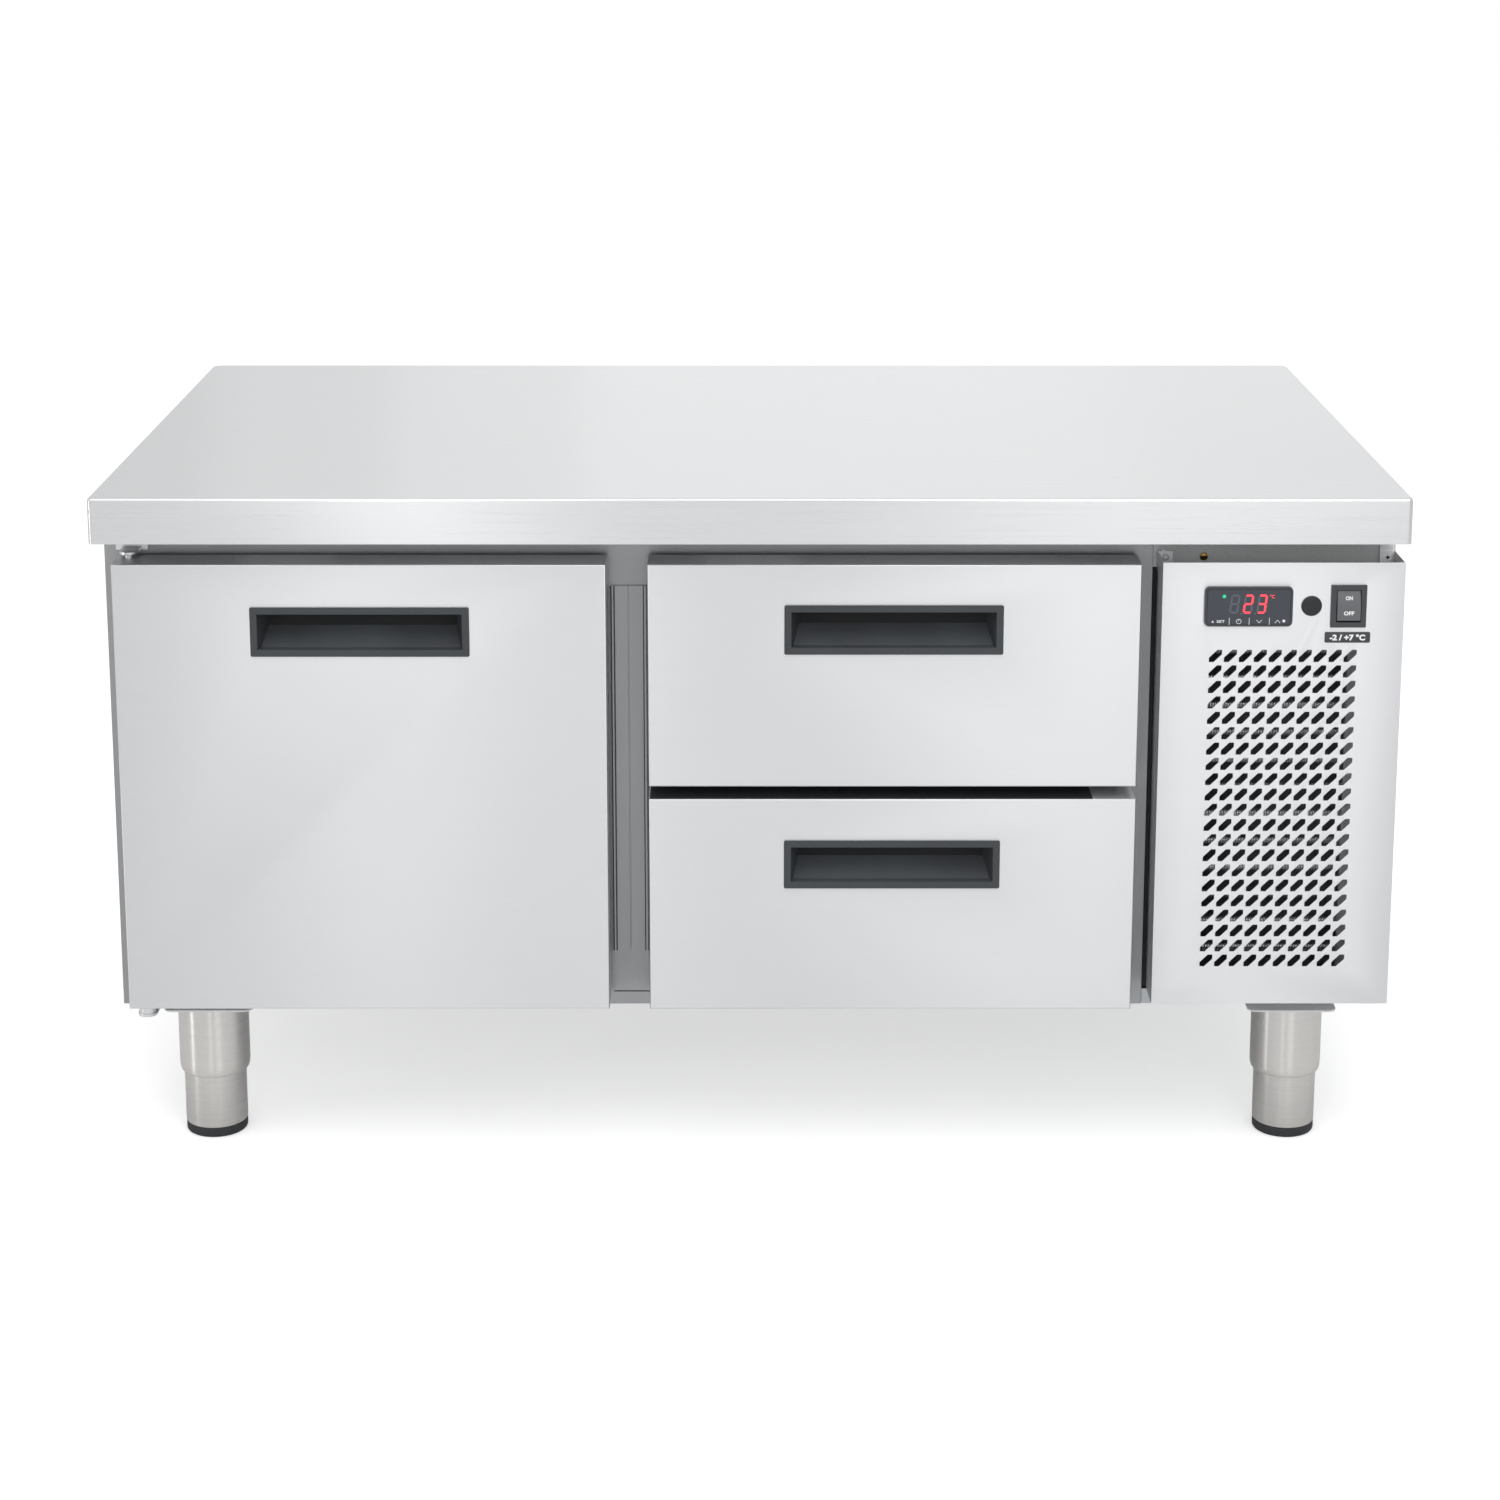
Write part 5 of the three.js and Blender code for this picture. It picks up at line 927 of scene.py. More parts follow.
class CHEF_OT_cabinet(bpy.types.Operator):
    """Worktop, casing, frame, mullion and liner with rounded sheet edges, the joints of the frame with a
    painted shadow beside the door, and a painted shade on its cross rail
    """

    bl_idname = "chef.cabinet"
    bl_label = "Cabinet"

    def execute(self, context):
        small = context.scene.chef_detail.sheet_round
        dress("worktop", "worktop", small * WORKTOP_ROUND, "worktop_sheet", angle=60)
        for node, material, rounding in CABINET_SHEETS:
            dress(node, material, small * rounding)
        for node in ("hinge_bracket_top", "hinge_bracket_bottom"):
            dress(node, "worktop", small, node + "_plate")
        self.add_joints(context.scene.chef_detail)
        self.add_rail_painted_shade(context.scene.chef_detail)
        return {"FINISHED"}

    def add_joints(self, detail):
        """Dark joints between the strips that clad the mullion, and one over the frame's lower end. The first
        line on the mullion, beside the door, is a painted shadow.
        """
        low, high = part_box("mullion_cover")
        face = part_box("front_frame")[0]
        joint = detail.mullion_joint
        bm = bmesh.new()
        for share, wide in MULLION_JOINTS:
            x = low.x + share * (high.x - low.x)
            stroke(bm, (x, low.y, low.z), (x, low.y, high.z), joint * wide, PRINT_DEPTH)
        sill = face.z + detail.sill_height
        stroke(bm, (low.x, face.y, sill), (high.x, face.y, sill), joint, PRINT_DEPTH)
        finish_piece("mullion_joints", bm, "rubber", "cabinet")

    def add_rail_painted_shade(self, detail):
        """A dark strip on the cross rail, between the gaskets of the two drawers: a painted shade for the
        dark gap between them.
        """
        left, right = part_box("upper_drawer_gasket")[0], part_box("lower_drawer_gasket")[1]
        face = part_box("front_frame")[0].y
        middle = (left.z + right.z) / 2
        height = left.z - right.z - detail.mullion_joint * 2
        bm = bmesh.new()
        stroke(bm, (left.x, face, middle), (right.x, face, middle), height, PRINT_DEPTH)
        finish_piece("cross_rail_cover", bm, "rubber", "cabinet")


class CHEF_OT_fronts(bpy.types.Operator):
    """Door and drawer fronts: folded skins, inner panels, gaskets, and a dark strip on the lower drawer's
    upper edge as painted shade
    """

    bl_idname = "chef.fronts"
    bl_label = "Fronts"

    def execute(self, context):
        small = context.scene.chef_detail.sheet_round
        fold = context.scene.chef_detail.front_fold
        for front in FRONTS:
            dress(front + "_skin", "front", small * SKIN_ROUND, front + "_face", angle=60, fold=fold)
            dress(front + "_inner_panel", "liner", small * INNER_PANEL_ROUND, front + "_back")
            dress(front + "_gasket", "rubber", small * GASKET_ROUND, front + "_seal", segments=3)
        self.add_gap_painted_shade(context.scene.chef_detail)
        return {"FINISHED"}

    def add_gap_painted_shade(self, detail):
        """A dark strip on the lower drawer's upper edge, a painted shade for the dark gap above it, which
        ends short of the right end, where the gap is lit.
        """
        low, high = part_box("lower_drawer_skin")
        bm = bmesh.new()
        block(
            bm, (low.x + detail.front_fold, low.y + detail.front_fold, high.z + PRINT_DEPTH / 4),
            (high.x - detail.shade_strip_end, high.y, high.z + detail.shade_strip_sheet))
        finish_piece("lower_drawer_tape", bm, "rubber", body_of("lower_drawer_skin"))


class CHEF_OT_handles(bpy.types.Operator):
    """Recessed moulded handles"""

    bl_idname = "chef.handles"
    bl_label = "Handles"

    def execute(self, context):
        wide = context.scene.chef_detail.moulded_round
        for front in FRONTS:
            piece = dress(front + "_handle", "handle", wide, front + "_grip", segments=3, angle=25)
            self.finish_pocket(piece, front + "_handle", context.scene.chef_detail)
        return {"FINISHED"}

    def finish_pocket(self, piece, node, detail):
        """Gives the pocket's sloping floor a paler material, a painted light, and its back a dark one, a
        painted shade.
        """
        low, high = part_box(node)
        piece.data.materials.append(MATERIALS["pocket_floor_painted_light"])
        piece.data.materials.append(MATERIALS["pocket_back_painted_shade"])
        rim = detail.handle_rim
        inset = rim * POCKET_INSET
        for face in piece.data.polygons:
            place, normal = face.center, face.normal
            inside = low.z + inset < place.z < high.z - inset and low.x + inset < place.x < high.x - inset
            if not inside or place.y < low.y + rim * POCKET_MOUTH:
                continue
            if normal.z > math.cos(FLOOR_LEAN):
                face.material_index = 1
            elif normal.y < -math.cos(BACK_LEAN) and place.y > low.y + rim:
                face.material_index = 2


class CHEF_OT_feet(bpy.types.Operator):
    """Levelling feet: sleeve with its flange, turning insert and rubber pad"""

    bl_idname = "chef.feet"
    bl_label = "Feet"

    def execute(self, context):
        detail = context.scene.chef_detail
        for corner in CORNERS:
            low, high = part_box("foot_insert_" + corner)
            centre = Vector(((low.x + high.x) / 2, (low.y + high.y) / 2, 0))
            inner = (high.x - low.x) / 2
            self.add_sleeve("foot_sleeve_" + corner, centre, inner, detail)
            self.add_insert("foot_insert_" + corner, centre, inner, high.z, detail)
            self.add_pad(corner, centre, inner, detail)
        return {"FINISHED"}

    def add_sleeve(self, sleeve, centre, inner, detail):
        """The outer tube with its turned-in lower end, and the flange that it hangs from."""
        low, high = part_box(sleeve)
        outer, wall, neck = detail.sleeve_radius, detail.sleeve_wall, detail.sleeve_neck
        seat = detail.sleeve_seat
        draw_in = outer - inner - detail.sleeve_lip
        bore = inner + detail.sleeve_bore
        turned_in = curved_in(outer, low.z, draw_in, neck, quarter(DOME_STEPS))
        bm = bmesh.new()
        spun(bm, [
            (outer - wall, high.z - seat), (outer, high.z - seat), *turned_in, (bore, low.z + seat),
            (bore, low.z + neck), (outer - wall, low.z + 2 * neck), (outer - wall, high.z - seat)],
            centre, sides=detail.tube_sides)
        finish_piece(sleeve + "_tube", bm, "foot", body_of(sleeve), [sleeve])

        bm = bmesh.new()
        flange = block(bm, (low.x, low.y, high.z - detail.flange_sheet), high)
        upright = [
            e for e in edges_of(flange)
            if abs(e.verts[0].co.z - e.verts[1].co.z) > detail.flange_sheet / 2]
        bevel(bm, upright, detail.flange_corner, PLATE_STEPS)
        # The flange takes the pale matt stainless, a painted light that keeps it pale in the shade under the
        # cabinet
        finish_piece(sleeve + "_flange", bm, "rail", body_of(sleeve))

    def add_insert(self, insert, centre, inner, top, detail):
        """The turning tube, with a chamfer on top and a rounded end over its pad."""
        seam, edge = detail.pad_height, detail.insert_edge
        bm = bmesh.new()
        spun(bm, [
            (0, top), (inner - edge, top), (inner, top - edge), (inner, seam + detail.insert_lip),
            (inner - detail.insert_inset, seam + detail.pad_seam), (0, seam + detail.pad_seam)],
            centre, sides=detail.tube_sides)
        finish_piece(insert + "_tube", bm, "foot", body_of(insert), [insert])

    def add_pad(self, corner, centre, inner, detail):
        """The rubber pad under the insert, with a rounded lower edge."""
        seam, side, edge = detail.pad_height, inner - detail.pad_seam, detail.pad_round
        rounded = curved_in(side, 0, edge, edge, [math.radians(degrees) for degrees in PAD_ANGLES])
        bm = bmesh.new()
        spun(bm, [
            (0, seam), (inner - detail.insert_edge, seam), (side, seam - detail.insert_inset), *rounded,
            (0, 0)], centre, sides=detail.tube_sides)
        finish_piece("foot_pad_" + corner, bm, "rubber", body_of("foot_insert_" + corner))


# Both ends of each segment, in whole digit widths and half digit heights from the lower left
SEGMENT_ENDS = {
    "top": ((0, 2), (1, 2)), "upper_right": ((1, 2), (1, 1)), "lower_right": ((1, 1), (1, 0)),
    "bottom": ((0, 0), (1, 0)), "lower_left": ((0, 1), (0, 0)), "upper_left": ((0, 2), (0, 1)),
    "middle": ((0, 1), (1, 1)),
}
DARK_SEGMENTS = {
    0: {"middle"}, 1: {"top", "middle", "bottom", "upper_left", "lower_left"},
    2: {"upper_left", "lower_right"}, 3: {"upper_left", "lower_left"}, 4: {"top", "bottom", "lower_left"},
    5: {"upper_right", "lower_left"}, 6: {"upper_right"},
    7: {"middle", "bottom", "upper_left", "lower_left"}, 8: set(), 9: {"lower_left"},
}


class CHEF_OT_controller(bpy.types.Operator):
    """Controller: bezel, smoked window, digits, pilot lamp and the signs over its keys"""

    bl_idname = "chef.controller"
    bl_label = "Controller"

    def execute(self, context):
        sizes = context.scene.chef_display
        edge = context.scene.chef_detail.moulded_round
        dress("controller_housing", "control", edge * HOUSING_ROUND)
        dress("controller_window", "window", edge * WINDOW_ROUND)
        low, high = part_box("controller_window")
        self.middle = Vector(((low.x + high.x) / 2, low.y, (low.z + high.z) / 2))
        self.half = (high - low) / 2
        self.add_digits(sizes)
        self.add_signs(sizes)
        return {"FINISHED"}

    def at(self, across_share, up_share):
        """A point on the window, given as shares of its half width and half height from the middle."""
        return self.middle + Vector((across_share * self.half.x, 0, up_share * self.half.z))

    def add_digits(self, sizes):
        """Lit and unlit segments of three leaning digits."""
        lit, unlit = bmesh.new(), bmesh.new()
        row = self.at(*DIGIT_ROW)
        shown = (None, sizes.reading // 10, sizes.reading % 10)
        for place, digit in enumerate(shown):
            centre = row + Vector(((place - 1) * sizes.digit_pitch, 0, 0))
            for segment, ends in SEGMENT_ENDS.items():
                dark = digit is None or segment in DARK_SEGMENTS[digit]
                self.add_segment(unlit if dark else lit, centre, ends, sizes)
        for place in (0, 1):
            corner = row + Vector(((place - 0.5) * sizes.digit_pitch, 0, -sizes.digit_height / 2))
            prism(unlit, corner, sizes.digit_stroke / 2, PRINT_DEPTH, POINT_SIDES)
        finish_piece("display_lit_segments", lit, "digit", "cabinet")
        finish_piece("display_unlit_segments", unlit, "ghost", "cabinet")

    def add_segment(self, bm, centre, ends, sizes):
        """One bar with pointed ends: a hexagon, pulled long."""
        rise = (sizes.digit_height - sizes.digit_stroke) / 2
        run = sizes.digit_width - sizes.digit_stroke / 2
        places = [Vector(((across - 0.5) * run, 0, (up - 1) * rise)) for across, up in ends]
        for place in places:
            place.x += place.z * math.tan(sizes.digit_lean)
        line = places[1] - places[0]
        half_width = sizes.digit_stroke / 2
        made = prism(bm, (0, 0, 0), half_width * 2 / math.sqrt(3), PRINT_DEPTH, HEXAGON)
        stretch = line.length / 2 - half_width * SEGMENT_POINTS
        for vert in made:
            vert.co.z += math.copysign(stretch, vert.co.z)
        turn = Matrix.Rotation(math.pi / 2 - math.atan2(line.z, line.x), 4, "Y")
        middle = centre + (places[0] + places[1]) / 2
        bmesh.ops.transform(bm, matrix=Matrix.Translation(middle) @ turn, verts=made)

    def add_signs(self, sizes):
        """Pilot lamp, degree sign, and the row of signs and dividers over the keys."""
        bm = bmesh.new()
        radius = sizes.lamp_radius
        prism(
            bm, self.at(*LAMP_PLACE), radius, PRINT_DEPTH * LAMP_RISE, DISC_SIDES, radius * LAMP_FRONT)
        finish_piece("pilot_lamp", bm, "lamp", "cabinet")
        reach, line = sizes.icon_reach, sizes.icon_stroke
        width, height = DEGREE_SIZE
        lettering(
            "display_degree_sign", "°C", reach * width, reach * height, self.at(*DEGREE_PLACE), "digit",
            "cabinet", weight=line * DEGREE_WEIGHT)
        bm = bmesh.new()
        prism(bm, self.at(*TRIANGLE_PLACE), reach * MARK_RADIUS, PRINT_DEPTH, TRIANGLE)
        for across in DIVIDERS:
            top, foot = self.at(across, KEY_ROW + DIVIDER_TOP), self.at(across, KEY_ROW + DIVIDER_FOOT)
            stroke(bm, top, foot, line, PRINT_DEPTH)
        ring = self.at(RING_ACROSS, KEY_ROW)
        spun(bm, washer(reach - line, reach, PRINT_DEPTH), ring, "Y", RING_SIDES)
        ends = [ring + Vector((0, 0, reach * share)) for share in RING_LINE]
        stroke(bm, *ends, line, PRINT_DEPTH)
        for across, way in ARROWS:
            tip = self.at(across, KEY_ROW) + Vector((0, 0, way * reach * ARROW_RISE))
            for side in (-1, 1):
                end = tip + Vector((side * reach, 0, -way * reach * ARROW_RISE * 2))
                stroke(bm, tip, end, line, PRINT_DEPTH)
        prism(bm, self.at(*DOT_PLACE), reach * MARK_RADIUS, PRINT_DEPTH, DOT_SIDES)
        finish_piece("key_signs", bm, "print", "cabinet")
        width, height = SET_SIZE
        lettering(
            "key_word", "SET", reach * width, reach * height, self.at(SET_ACROSS, KEY_ROW), "print",
            "cabinet", weight=line * SET_WEIGHT)


class CHEF_OT_switch(bpy.types.Operator):
    """Rocker switch, the plate with the temperature range and the round blanking cap"""

    bl_idname = "chef.switch"
    bl_label = "Switch"

    def execute(self, context):
        sizes = context.scene.chef_display
        edge = context.scene.chef_detail.moulded_round
        dress("switch_frame", "control", edge * SWITCH_ROUND, segments=3)
        dress("switch_rocker", "rocker", edge * ROCKER_ROUND, segments=3, angle=60)
        self.add_words(sizes)
        self.add_range_plate(sizes, edge)
        self.add_cap(sizes)
        return {"FINISHED"}

    def add_words(self, sizes):
        """ON and OFF on the two faces of the rocker, each as steep as its face."""
        bm = copy_of("switch_rocker")
        faces = sorted(
            (face for face in bm.faces if face.normal.y < TO_FRONT),
            key=lambda face: face.calc_center_median().z)
        tall = sizes.icon_reach * ROCKER_WORDS
        for face, word in ((faces[-1], "ON"), (faces[0], "OFF")):
            tilt = -math.atan2(face.normal.z, -face.normal.y)
            centre = face.calc_center_median() + face.normal * PRINT_DEPTH / 2
            lettering(
                "switch_word_" + word.lower(), word, tall * WORD_WIDTHS[word], tall, centre, "print",
                "rocker", tilt, weight=tall * ROCKER_WEIGHT)
        bm.free()

    def add_range_plate(self, sizes, edge):
        """The black plate with the range of temperatures, under the switch."""
        low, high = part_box("switch_frame")
        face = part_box("machine_front_panel")[0].y
        middle = Vector(((low.x + high.x) / 2, face, low.z - sizes.range_gap - sizes.range_height / 2))
        half = Vector((sizes.range_width / 2, 0, sizes.range_height / 2))
        bm = bmesh.new()
        front, gap = Vector((0, sizes.plate_rise, 0)), Vector((0, PRINT_DEPTH, 0))
        plate(bm, middle - half - front, middle + half - gap, edge * PLATE_CORNER, edge * PLATE_ROUND)
        finish_piece("range_plate", bm, "control", "cabinet")
        across, up = RANGE_WORDS
        lettering(
            "range_words", "-2 / +7 °C", sizes.range_width * across, sizes.range_height * up,
            middle - front - gap / 2, "print", "cabinet",
            weight=sizes.range_height * RANGE_WEIGHT)

    def add_cap(self, sizes):
        """The domed cap between the controller and the switch."""
        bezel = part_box("controller_housing")[1]
        frame_low, frame_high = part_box("switch_frame")
        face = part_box("machine_front_panel")[0].y
        centre = Vector(((bezel.x + frame_low.x) / 2, face, (frame_low.z + frame_high.z) / 2))
        radius, rise = sizes.cap_radius, sizes.cap_rise
        profile = [*dome(radius, -rise, CAP_RIM, DOME_STEPS), (radius, -PRINT_DEPTH), (0, -PRINT_DEPTH)]
        bm = bmesh.new()
        spun(bm, profile, centre, "Y", CAP_SIDES)
        finish_piece("blanking_cap", bm, "black", "cabinet")


class CHEF_OT_condenser(bpy.types.Operator):
    """Finned condenser behind the slots: fins, end plates, tubes, return bends, air seal and grommet"""

    bl_idname = "chef.condenser"
    bl_label = "Condenser"

    def execute(self, context):
        detail = context.scene.chef_detail
        low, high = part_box("condenser")
        hood_low, hood_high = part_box("condenser_shroud")
        self.left, self.right = hood_low.x, hood_high.x
        self.front, self.back = low.y + detail.end_sheet, high.y
        self.foot, self.top = low.z + detail.fin_foot, hood_high.z
        self.add_fins(detail)
        self.add_ends(detail, low, high)
        self.add_seal(detail, low)
        self.add_grommet(detail, low, high)
        self.add_tubes(detail)
        return {"FINISHED"}

    def add_fins(self, detail):
        """Thin upright fins with a wavy edge, a little thicker than real ones so that they show."""
        bm = bmesh.new()
        waves = detail.fin_waves
        sheet = bmesh.ops.create_grid(bm, x_segments=1, y_segments=waves, size=0.5)["verts"]
        tall, deep = self.top - self.foot, self.back - self.front
        for vert in sheet:
            step = round((vert.co.y + 0.5) * waves)
            ripple = detail.fin_ripple * (1 if step % 2 else -1)
            across = (vert.co.x + 0.5) * deep
            vert.co = Vector((ripple, self.front + across, self.foot + tall * step / waves))
        bmesh.ops.solidify(bm, geom=list(bm.faces), thickness=detail.fin_sheet)
        bmesh.ops.recalc_face_normals(bm, faces=bm.faces)
        first = self.left + detail.end_sheet + detail.fin_pitch / 2
        count = int((self.right - detail.end_sheet - first) / detail.fin_pitch)
        corners_of_fin = list(bm.verts)
        fin = corners_of_fin + list(bm.edges) + list(bm.faces)
        for i in range(1, count):
            copied = bmesh.ops.duplicate(bm, geom=fin)["geom"]
            moved = [v for v in copied if isinstance(v, bmesh.types.BMVert)]
            bmesh.ops.translate(bm, vec=(first + i * detail.fin_pitch, 0, 0), verts=moved)
        bmesh.ops.translate(bm, vec=(first, 0, 0), verts=corners_of_fin)
        finish_piece("condenser_fins", bm, "fin", "cabinet", ["condenser"])

    def add_ends(self, detail, low, high):
        """The two folded end plates that the tubes pass through, with their front flanges."""
        bm = bmesh.new()
        sheet, flange = detail.end_sheet, detail.end_flange
        for edge, way in ((self.left, -1), (self.right, 1)):
            inner = edge - way * sheet
            outer = edge + way * flange
            block(bm, (min(edge, inner), low.y, low.z), (max(edge, inner), high.y, high.z))
            block(bm, (min(edge, outer), low.y, self.foot), (max(edge, outer), low.y + sheet, high.z))
        round_edges(bm, sheet * END_ROUND, 1)
        # The end plates take the pale matt stainless, a painted light that keeps them pale behind the slots
        finish_piece("condenser_end_plates", bm, "rail", "cabinet")

    def add_seal(self, detail, low):
        """The foam strip that closes the gap between the condenser and the cold box."""
        sheet = detail.end_sheet
        wall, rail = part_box("outer_casing")[1].x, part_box("machine_top_rail")[0].z
        front = low.y + sheet
        bm = bmesh.new()
        block(
            bm, (wall + PRINT_DEPTH, front, low.z + PRINT_DEPTH),
            (self.left - sheet / 2, front + detail.seal_sheet, rail - PRINT_DEPTH))
        round_edges(bm, sheet * AIR_SEAL_ROUND)
        finish_piece("condenser_air_seal", bm, "rubber", "cabinet")

    def add_grommet(self, detail, low, high):
        """The round rubber plug in the right end plate's flange."""
        flange, radius = detail.end_flange, detail.screw_head
        hole = Vector((
            self.right + flange * GROMMET_ACROSS, low.y - PRINT_DEPTH, high.z - flange * GROMMET_DOWN))
        bm = bmesh.new()
        prism(bm, hole, radius, PRINT_DEPTH * GROMMET_RISE, DISC_SIDES, radius * GROMMET_FRONT)
        finish_piece("condenser_grommet", bm, "rubber", "cabinet")

    def add_tubes(self, detail):
        """Rows of tubes through the fins, joined in pairs by half-round bends."""
        count = int((self.top - self.foot - 2 * detail.tube_radius) / detail.tube_pitch)
        tubes, bends = bmesh.new(), bmesh.new()
        for row in range(detail.tube_rows):
            y = self.front + detail.tube_depth + row * detail.tube_row
            start = self.foot + detail.tube_pitch * ROW_STARTS[row % 2]
            for i in range(count):
                z = start + i * detail.tube_pitch
                rod(tubes, (self.left, y, z), (self.right, y, z), detail.tube_radius, TUBE_SIDES)
                if i + 1 < count:
                    end = self.right if i % 2 else self.left
                    centre = Vector((end, y, z + detail.tube_pitch / 2))
                    self.add_bend(bends, centre, 1 if i % 2 else -1, detail)
        # The tubes' bright tone is partly their aluminium collars and partly painted light
        finish_piece("condenser_tubes", tubes, "bright_tube", "cabinet")
        finish_piece("condenser_bends", bends, "copper", "cabinet")

    def add_bend(self, bm, centre, way, detail):
        """Half a ring from one tube to the next."""
        start = centre - Vector((0, 0, detail.tube_pitch / 2))
        bent_rod(
            bm, start, Matrix.Rotation(math.pi / 2, 4, "Y"), centre, (0, -way, 0), math.pi,
            detail.tube_radius, BEND_SIDES, BEND_STEPS)


class CHEF_OT_machine(bpy.types.Operator):
    """Fans, compressor, refrigerant lines, electrical box and evaporator"""

    bl_idname = "chef.machine"
    bl_label = "Machine"

    def execute(self, context):
        small = context.scene.chef_detail.sheet_round
        for node, material, rounding in MACHINE_PIECES:
            dress(node, material, small * rounding, node + "_piece", angle=60)
        for node, material in LINES:
            dress(node, material, small * LINE_ROUND, node + "_tube", angle=80)
        return {"FINISHED"}


class CHEF_OT_storage(bpy.types.Operator):
    """Wire shelf, drawer frames and telescopic slides"""

    bl_idname = "chef.storage"
    bl_label = "Storage"

    def execute(self, context):
        small = context.scene.chef_detail.sheet_round
        self.add_shelf(context.scene.chef_detail)
        for drawer in ("upper", "lower"):
            dress(drawer + "_drawer_frame", "liner", small * PAN_FRAME_ROUND, drawer + "_pan_frame")
            for side in ("left", "right"):
                node = drawer + "_slide_middle_" + side
                dress(node, "galvanised", small * CHANNEL_ROUND, node + "_channel")
        for side in ("left", "right"):
            dress("slide_rack_" + side, "galvanised", small * RACK_ROUND)
        return {"FINISHED"}

    def add_shelf(self, detail):
        """An outer wire with round corners, long wires side by side, and two cross wires under them."""
        low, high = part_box("wire_shelf")
        outer, inner = detail.frame_wire, detail.shelf_wire
        z = (low.z + high.z) / 2
        left, right, near, far = low.x + outer, high.x - outer, low.y + outer, high.y - outer
        corner = outer * CORNER_BEND
        bm = bmesh.new()
        for x in (left, right):
            rod(bm, (x, near + corner, z), (x, far - corner, z), outer, TUBE_SIDES)
        for y in (near, far):
            rod(bm, (left + corner, y, z), (right - corner, y, z), outer, TUBE_SIDES)
        for x, across in ((left, 1), (right, -1)):
            for y, along in ((near, 1), (far, -1)):
                centre = Vector((x + across * corner, y + along * corner, z))
                self.add_corner(bm, centre, across, along, corner, outer)
        pitch = (right - left) / (detail.wire_count + 1)
        for i in range(1, detail.wire_count + 1):
            x = left + i * pitch
            rod(bm, (x, near, z + outer - inner), (x, far, z + outer - inner), inner, WIRE_SIDES)
        for share in (1 / 3, 2 / 3):
            y = near + share * (far - near)
            rod(bm, (left, y, z - inner), (right, y, z - inner), inner * CROSS_WIRE, WIRE_SIDES)
        shelf = "wire_shelf"
        finish_piece("wire_shelf_grid", bm, "wire", body_of(shelf), [shelf])

    def add_corner(self, bm, centre, across, along, bend, radius):
        """A quarter bend of the outer wire."""
        start = centre - Vector((across * bend, 0, 0))
        bent_rod(
            bm, start, Matrix.Rotation(math.pi / 2, 4, "X"), centre, (0, 0, across * along), math.pi / 2,
            radius, TUBE_SIDES, CORNER_STEPS)


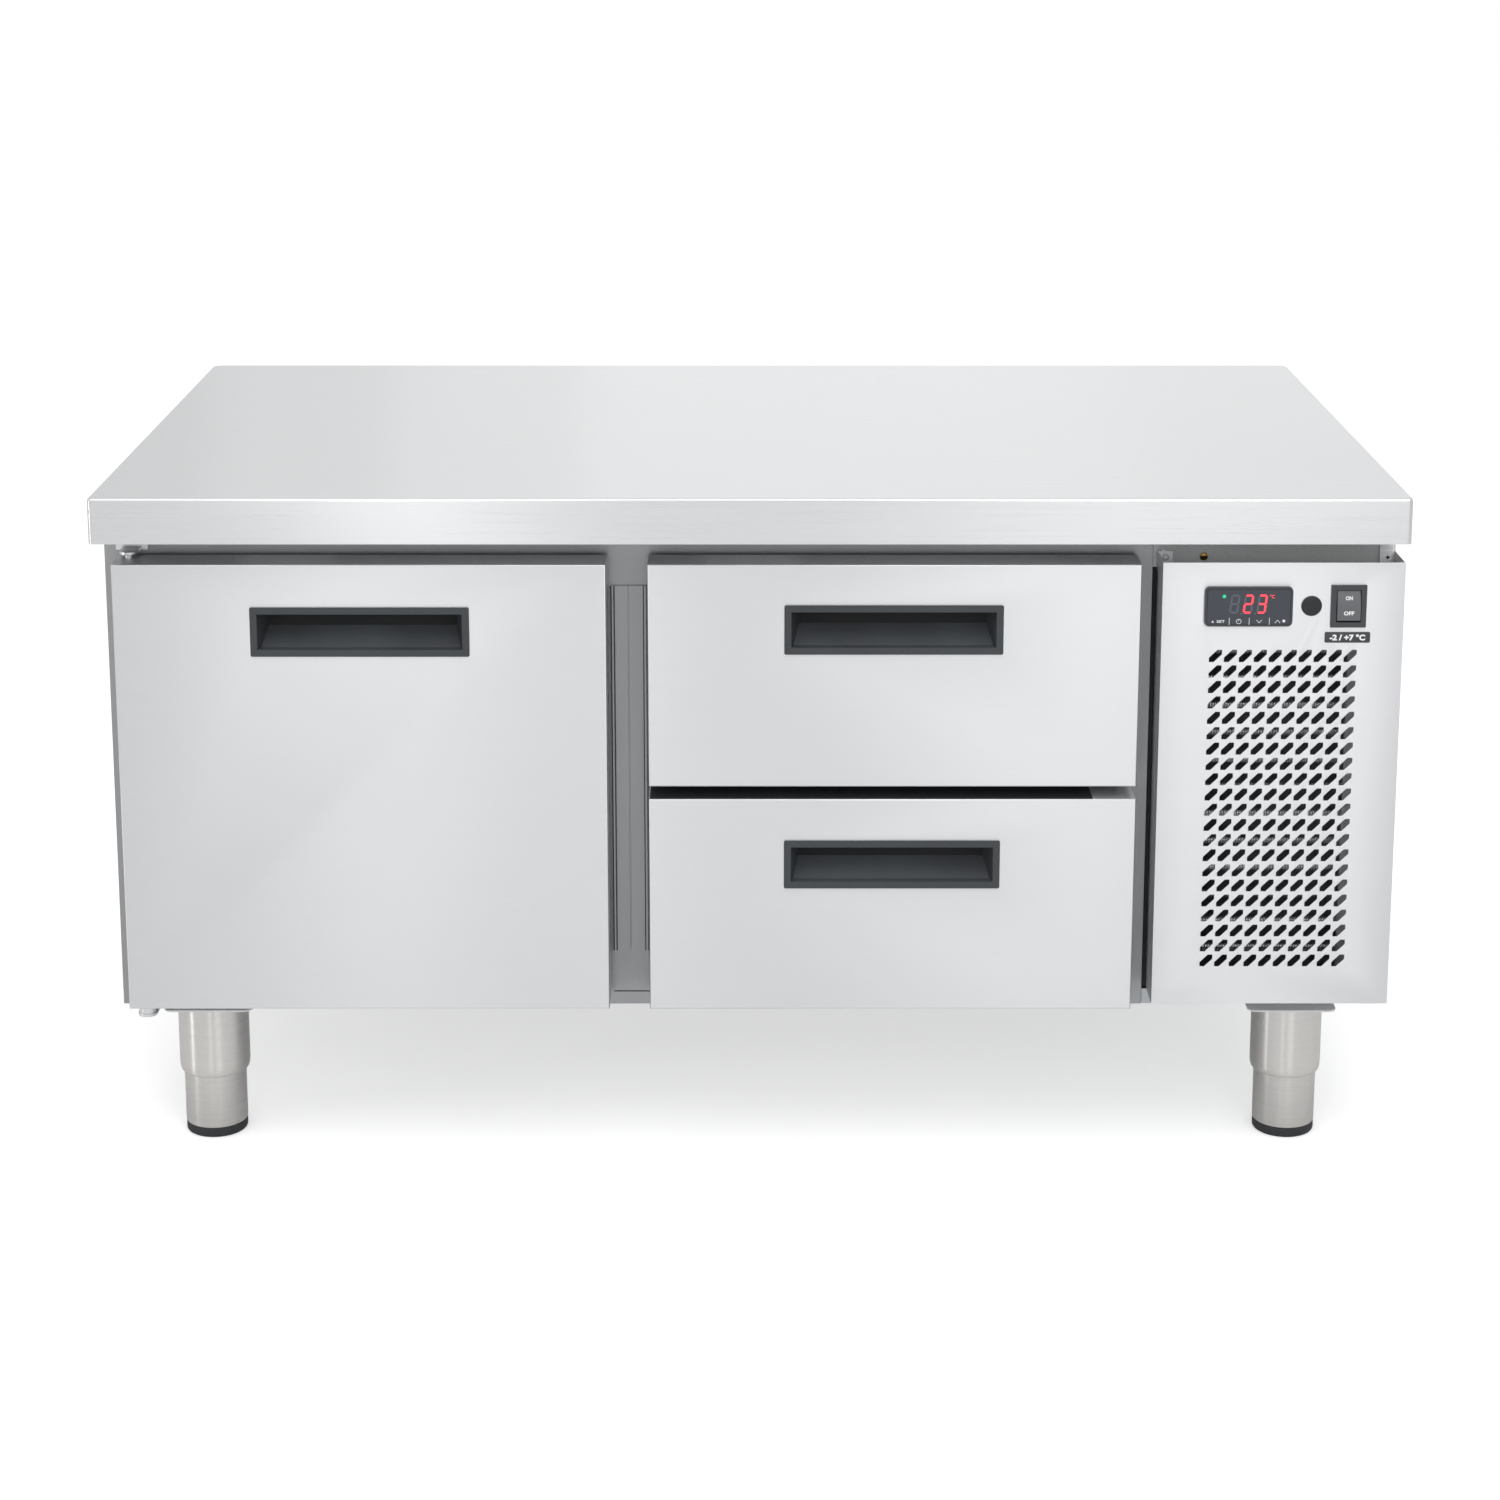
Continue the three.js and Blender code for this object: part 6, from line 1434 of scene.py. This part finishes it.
class CHEF_OT_fasteners(bpy.types.Operator):
    """Screws of the machine compartment and the clip beside its panel"""

    bl_idname = "chef.fasteners"
    bl_label = "Fasteners"

    def execute(self, context):
        detail = context.scene.chef_detail
        rail_low, rail_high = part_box("machine_top_rail")
        side_low, side_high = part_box("machine_side_panel")
        back_low, back_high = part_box("machine_back_panel")
        head = detail.screw_head
        level = rail_low.z + head * SCREW_LEVEL
        slotted = Vector((rail_low.x + head * SLOTTED_ACROSS, rail_low.y, level))
        corner = Vector(((side_low.x + side_high.x) / 2, side_low.y, level))
        bm, marks = bmesh.new(), bmesh.new()
        self.add_screw(bm, marks, slotted, detail, -1, 1)
        finish_piece("slotted_screw", bm, "brass", "cabinet")
        bm = bmesh.new()
        self.add_screw(bm, marks, corner, detail, -1, 2)
        inset = head * BACK_INSET
        for x in (back_low.x + inset, back_high.x - inset):
            for share in BACK_SCREWS:
                place = Vector((x, back_high.y, back_low.z + share * (back_high.z - back_low.z)))
                self.add_screw(bm, marks, place, detail, 1, 2)
        finish_piece("pan_screws", bm, "wire", "cabinet")
        # The black bars on the heads are a painted shade for the slots' recesses
        finish_piece("screw_recesses", marks, "black", "cabinet")
        self.add_clip(detail, Vector((rail_low.x + head * CLIP_ACROSS, rail_low.y, level)))
        return {"FINISHED"}

    def add_screw(self, bm, marks, place, detail, facing, bars):
        """A domed head on a sheet, with one black bar for a slot or two for a cross, painted on as the shade
        in the recess.

        facing is -1 for the front and 1 for the back.
        """
        radius, rise = detail.screw_head, detail.screw_rise * facing
        gap = PRINT_DEPTH * facing
        profile = [*dome(radius, rise, HEAD_RIM, HEAD_STEPS), (radius, gap), (0, gap)]
        spun(bm, profile, place, "Y", HEAD_SIDES)
        reach = radius * (SLOT_REACH if bars == 1 else CROSS_REACH)
        top = place + Vector((0, rise * RECESS_LEVEL, 0))
        for way in ((1, 0), (0, 1))[:bars]:
            half = Vector((way[0] * reach, 0, way[1] * reach))
            made = stroke(marks, top - half, top + half, radius * RECESS_WIDTH, PRINT_DEPTH)
            bmesh.ops.translate(marks, vec=(0, gap, 0), verts=made)

    def add_clip(self, detail, place):
        """The folded spring clip that the panel's edge snaps on, held by a washer."""
        half = detail.screw_head * CLIP_HALF
        bm = bmesh.new()
        leaf = block(
            bm, place + Vector((-half, -half * LEAF_FRONT, -half)),
            place + Vector((half, -half * LEAF_BACK, half)))
        root = block(
            bm, place + Vector((-half, -half * ROOT_FRONT, half * ROOT_FOOT)),
            place + Vector((half, -PRINT_DEPTH, half * ROOT_TOP)))
        bmesh.ops.rotate(bm, cent=place, matrix=Matrix.Rotation(CLIP_TURN, 3, "Y"), verts=leaf + root)
        round_edges(bm, half * CLIP_ROUND)
        ring = washer(half * WASHER_BORE, half * WASHER_RADIUS, half * WASHER_SHEET)
        spun(bm, ring, place - Vector((0, half * LEAF_FRONT, 0)), "Y", DISC_SIDES)
        finish_piece("panel_clip", bm, "galvanised", "cabinet")


OPERATORS = (
    CHEF_OT_stage, CHEF_OT_finishes, CHEF_OT_cabinet, CHEF_OT_fronts, CHEF_OT_handles, CHEF_OT_feet,
    CHEF_OT_controller, CHEF_OT_switch, CHEF_OT_condenser, CHEF_OT_machine, CHEF_OT_storage,
    CHEF_OT_fasteners,
)


class CHEF_PT_panel(bpy.types.Panel):
    """Sizes, colours and pieces of the chef base"""

    bl_idname = "CHEF_PT_panel"
    bl_label = "Chef Base"
    bl_space_type = "VIEW_3D"
    bl_region_type = "UI"
    bl_category = "Chef Base"

    def draw(self, context):
        layout = self.layout
        for group in SETTINGS:
            box = layout.box()
            settings = getattr(context.scene, group)
            for name in settings.__annotations__:
                box.prop(settings, name)
        for operator in OPERATORS:
            layout.operator(operator.bl_idname)


def register():
    for group, settings in SETTINGS.items():
        bpy.utils.register_class(settings)
        setattr(bpy.types.Scene, group, PointerProperty(type=settings))
    for kind in (*OPERATORS, CHEF_PT_panel):
        bpy.utils.register_class(kind)


def unregister():
    for kind in reversed((*OPERATORS, CHEF_PT_panel)):
        bpy.utils.unregister_class(kind)
    for group, settings in reversed(SETTINGS.items()):
        delattr(bpy.types.Scene, group)
        bpy.utils.unregister_class(settings)


def main():
    """Builds every piece in order."""
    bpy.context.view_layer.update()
    register()
    for operator in OPERATORS:
        group, name = operator.bl_idname.split(".")
        getattr(getattr(bpy.ops, group), name)()


if __name__ == "__main__":
    main()
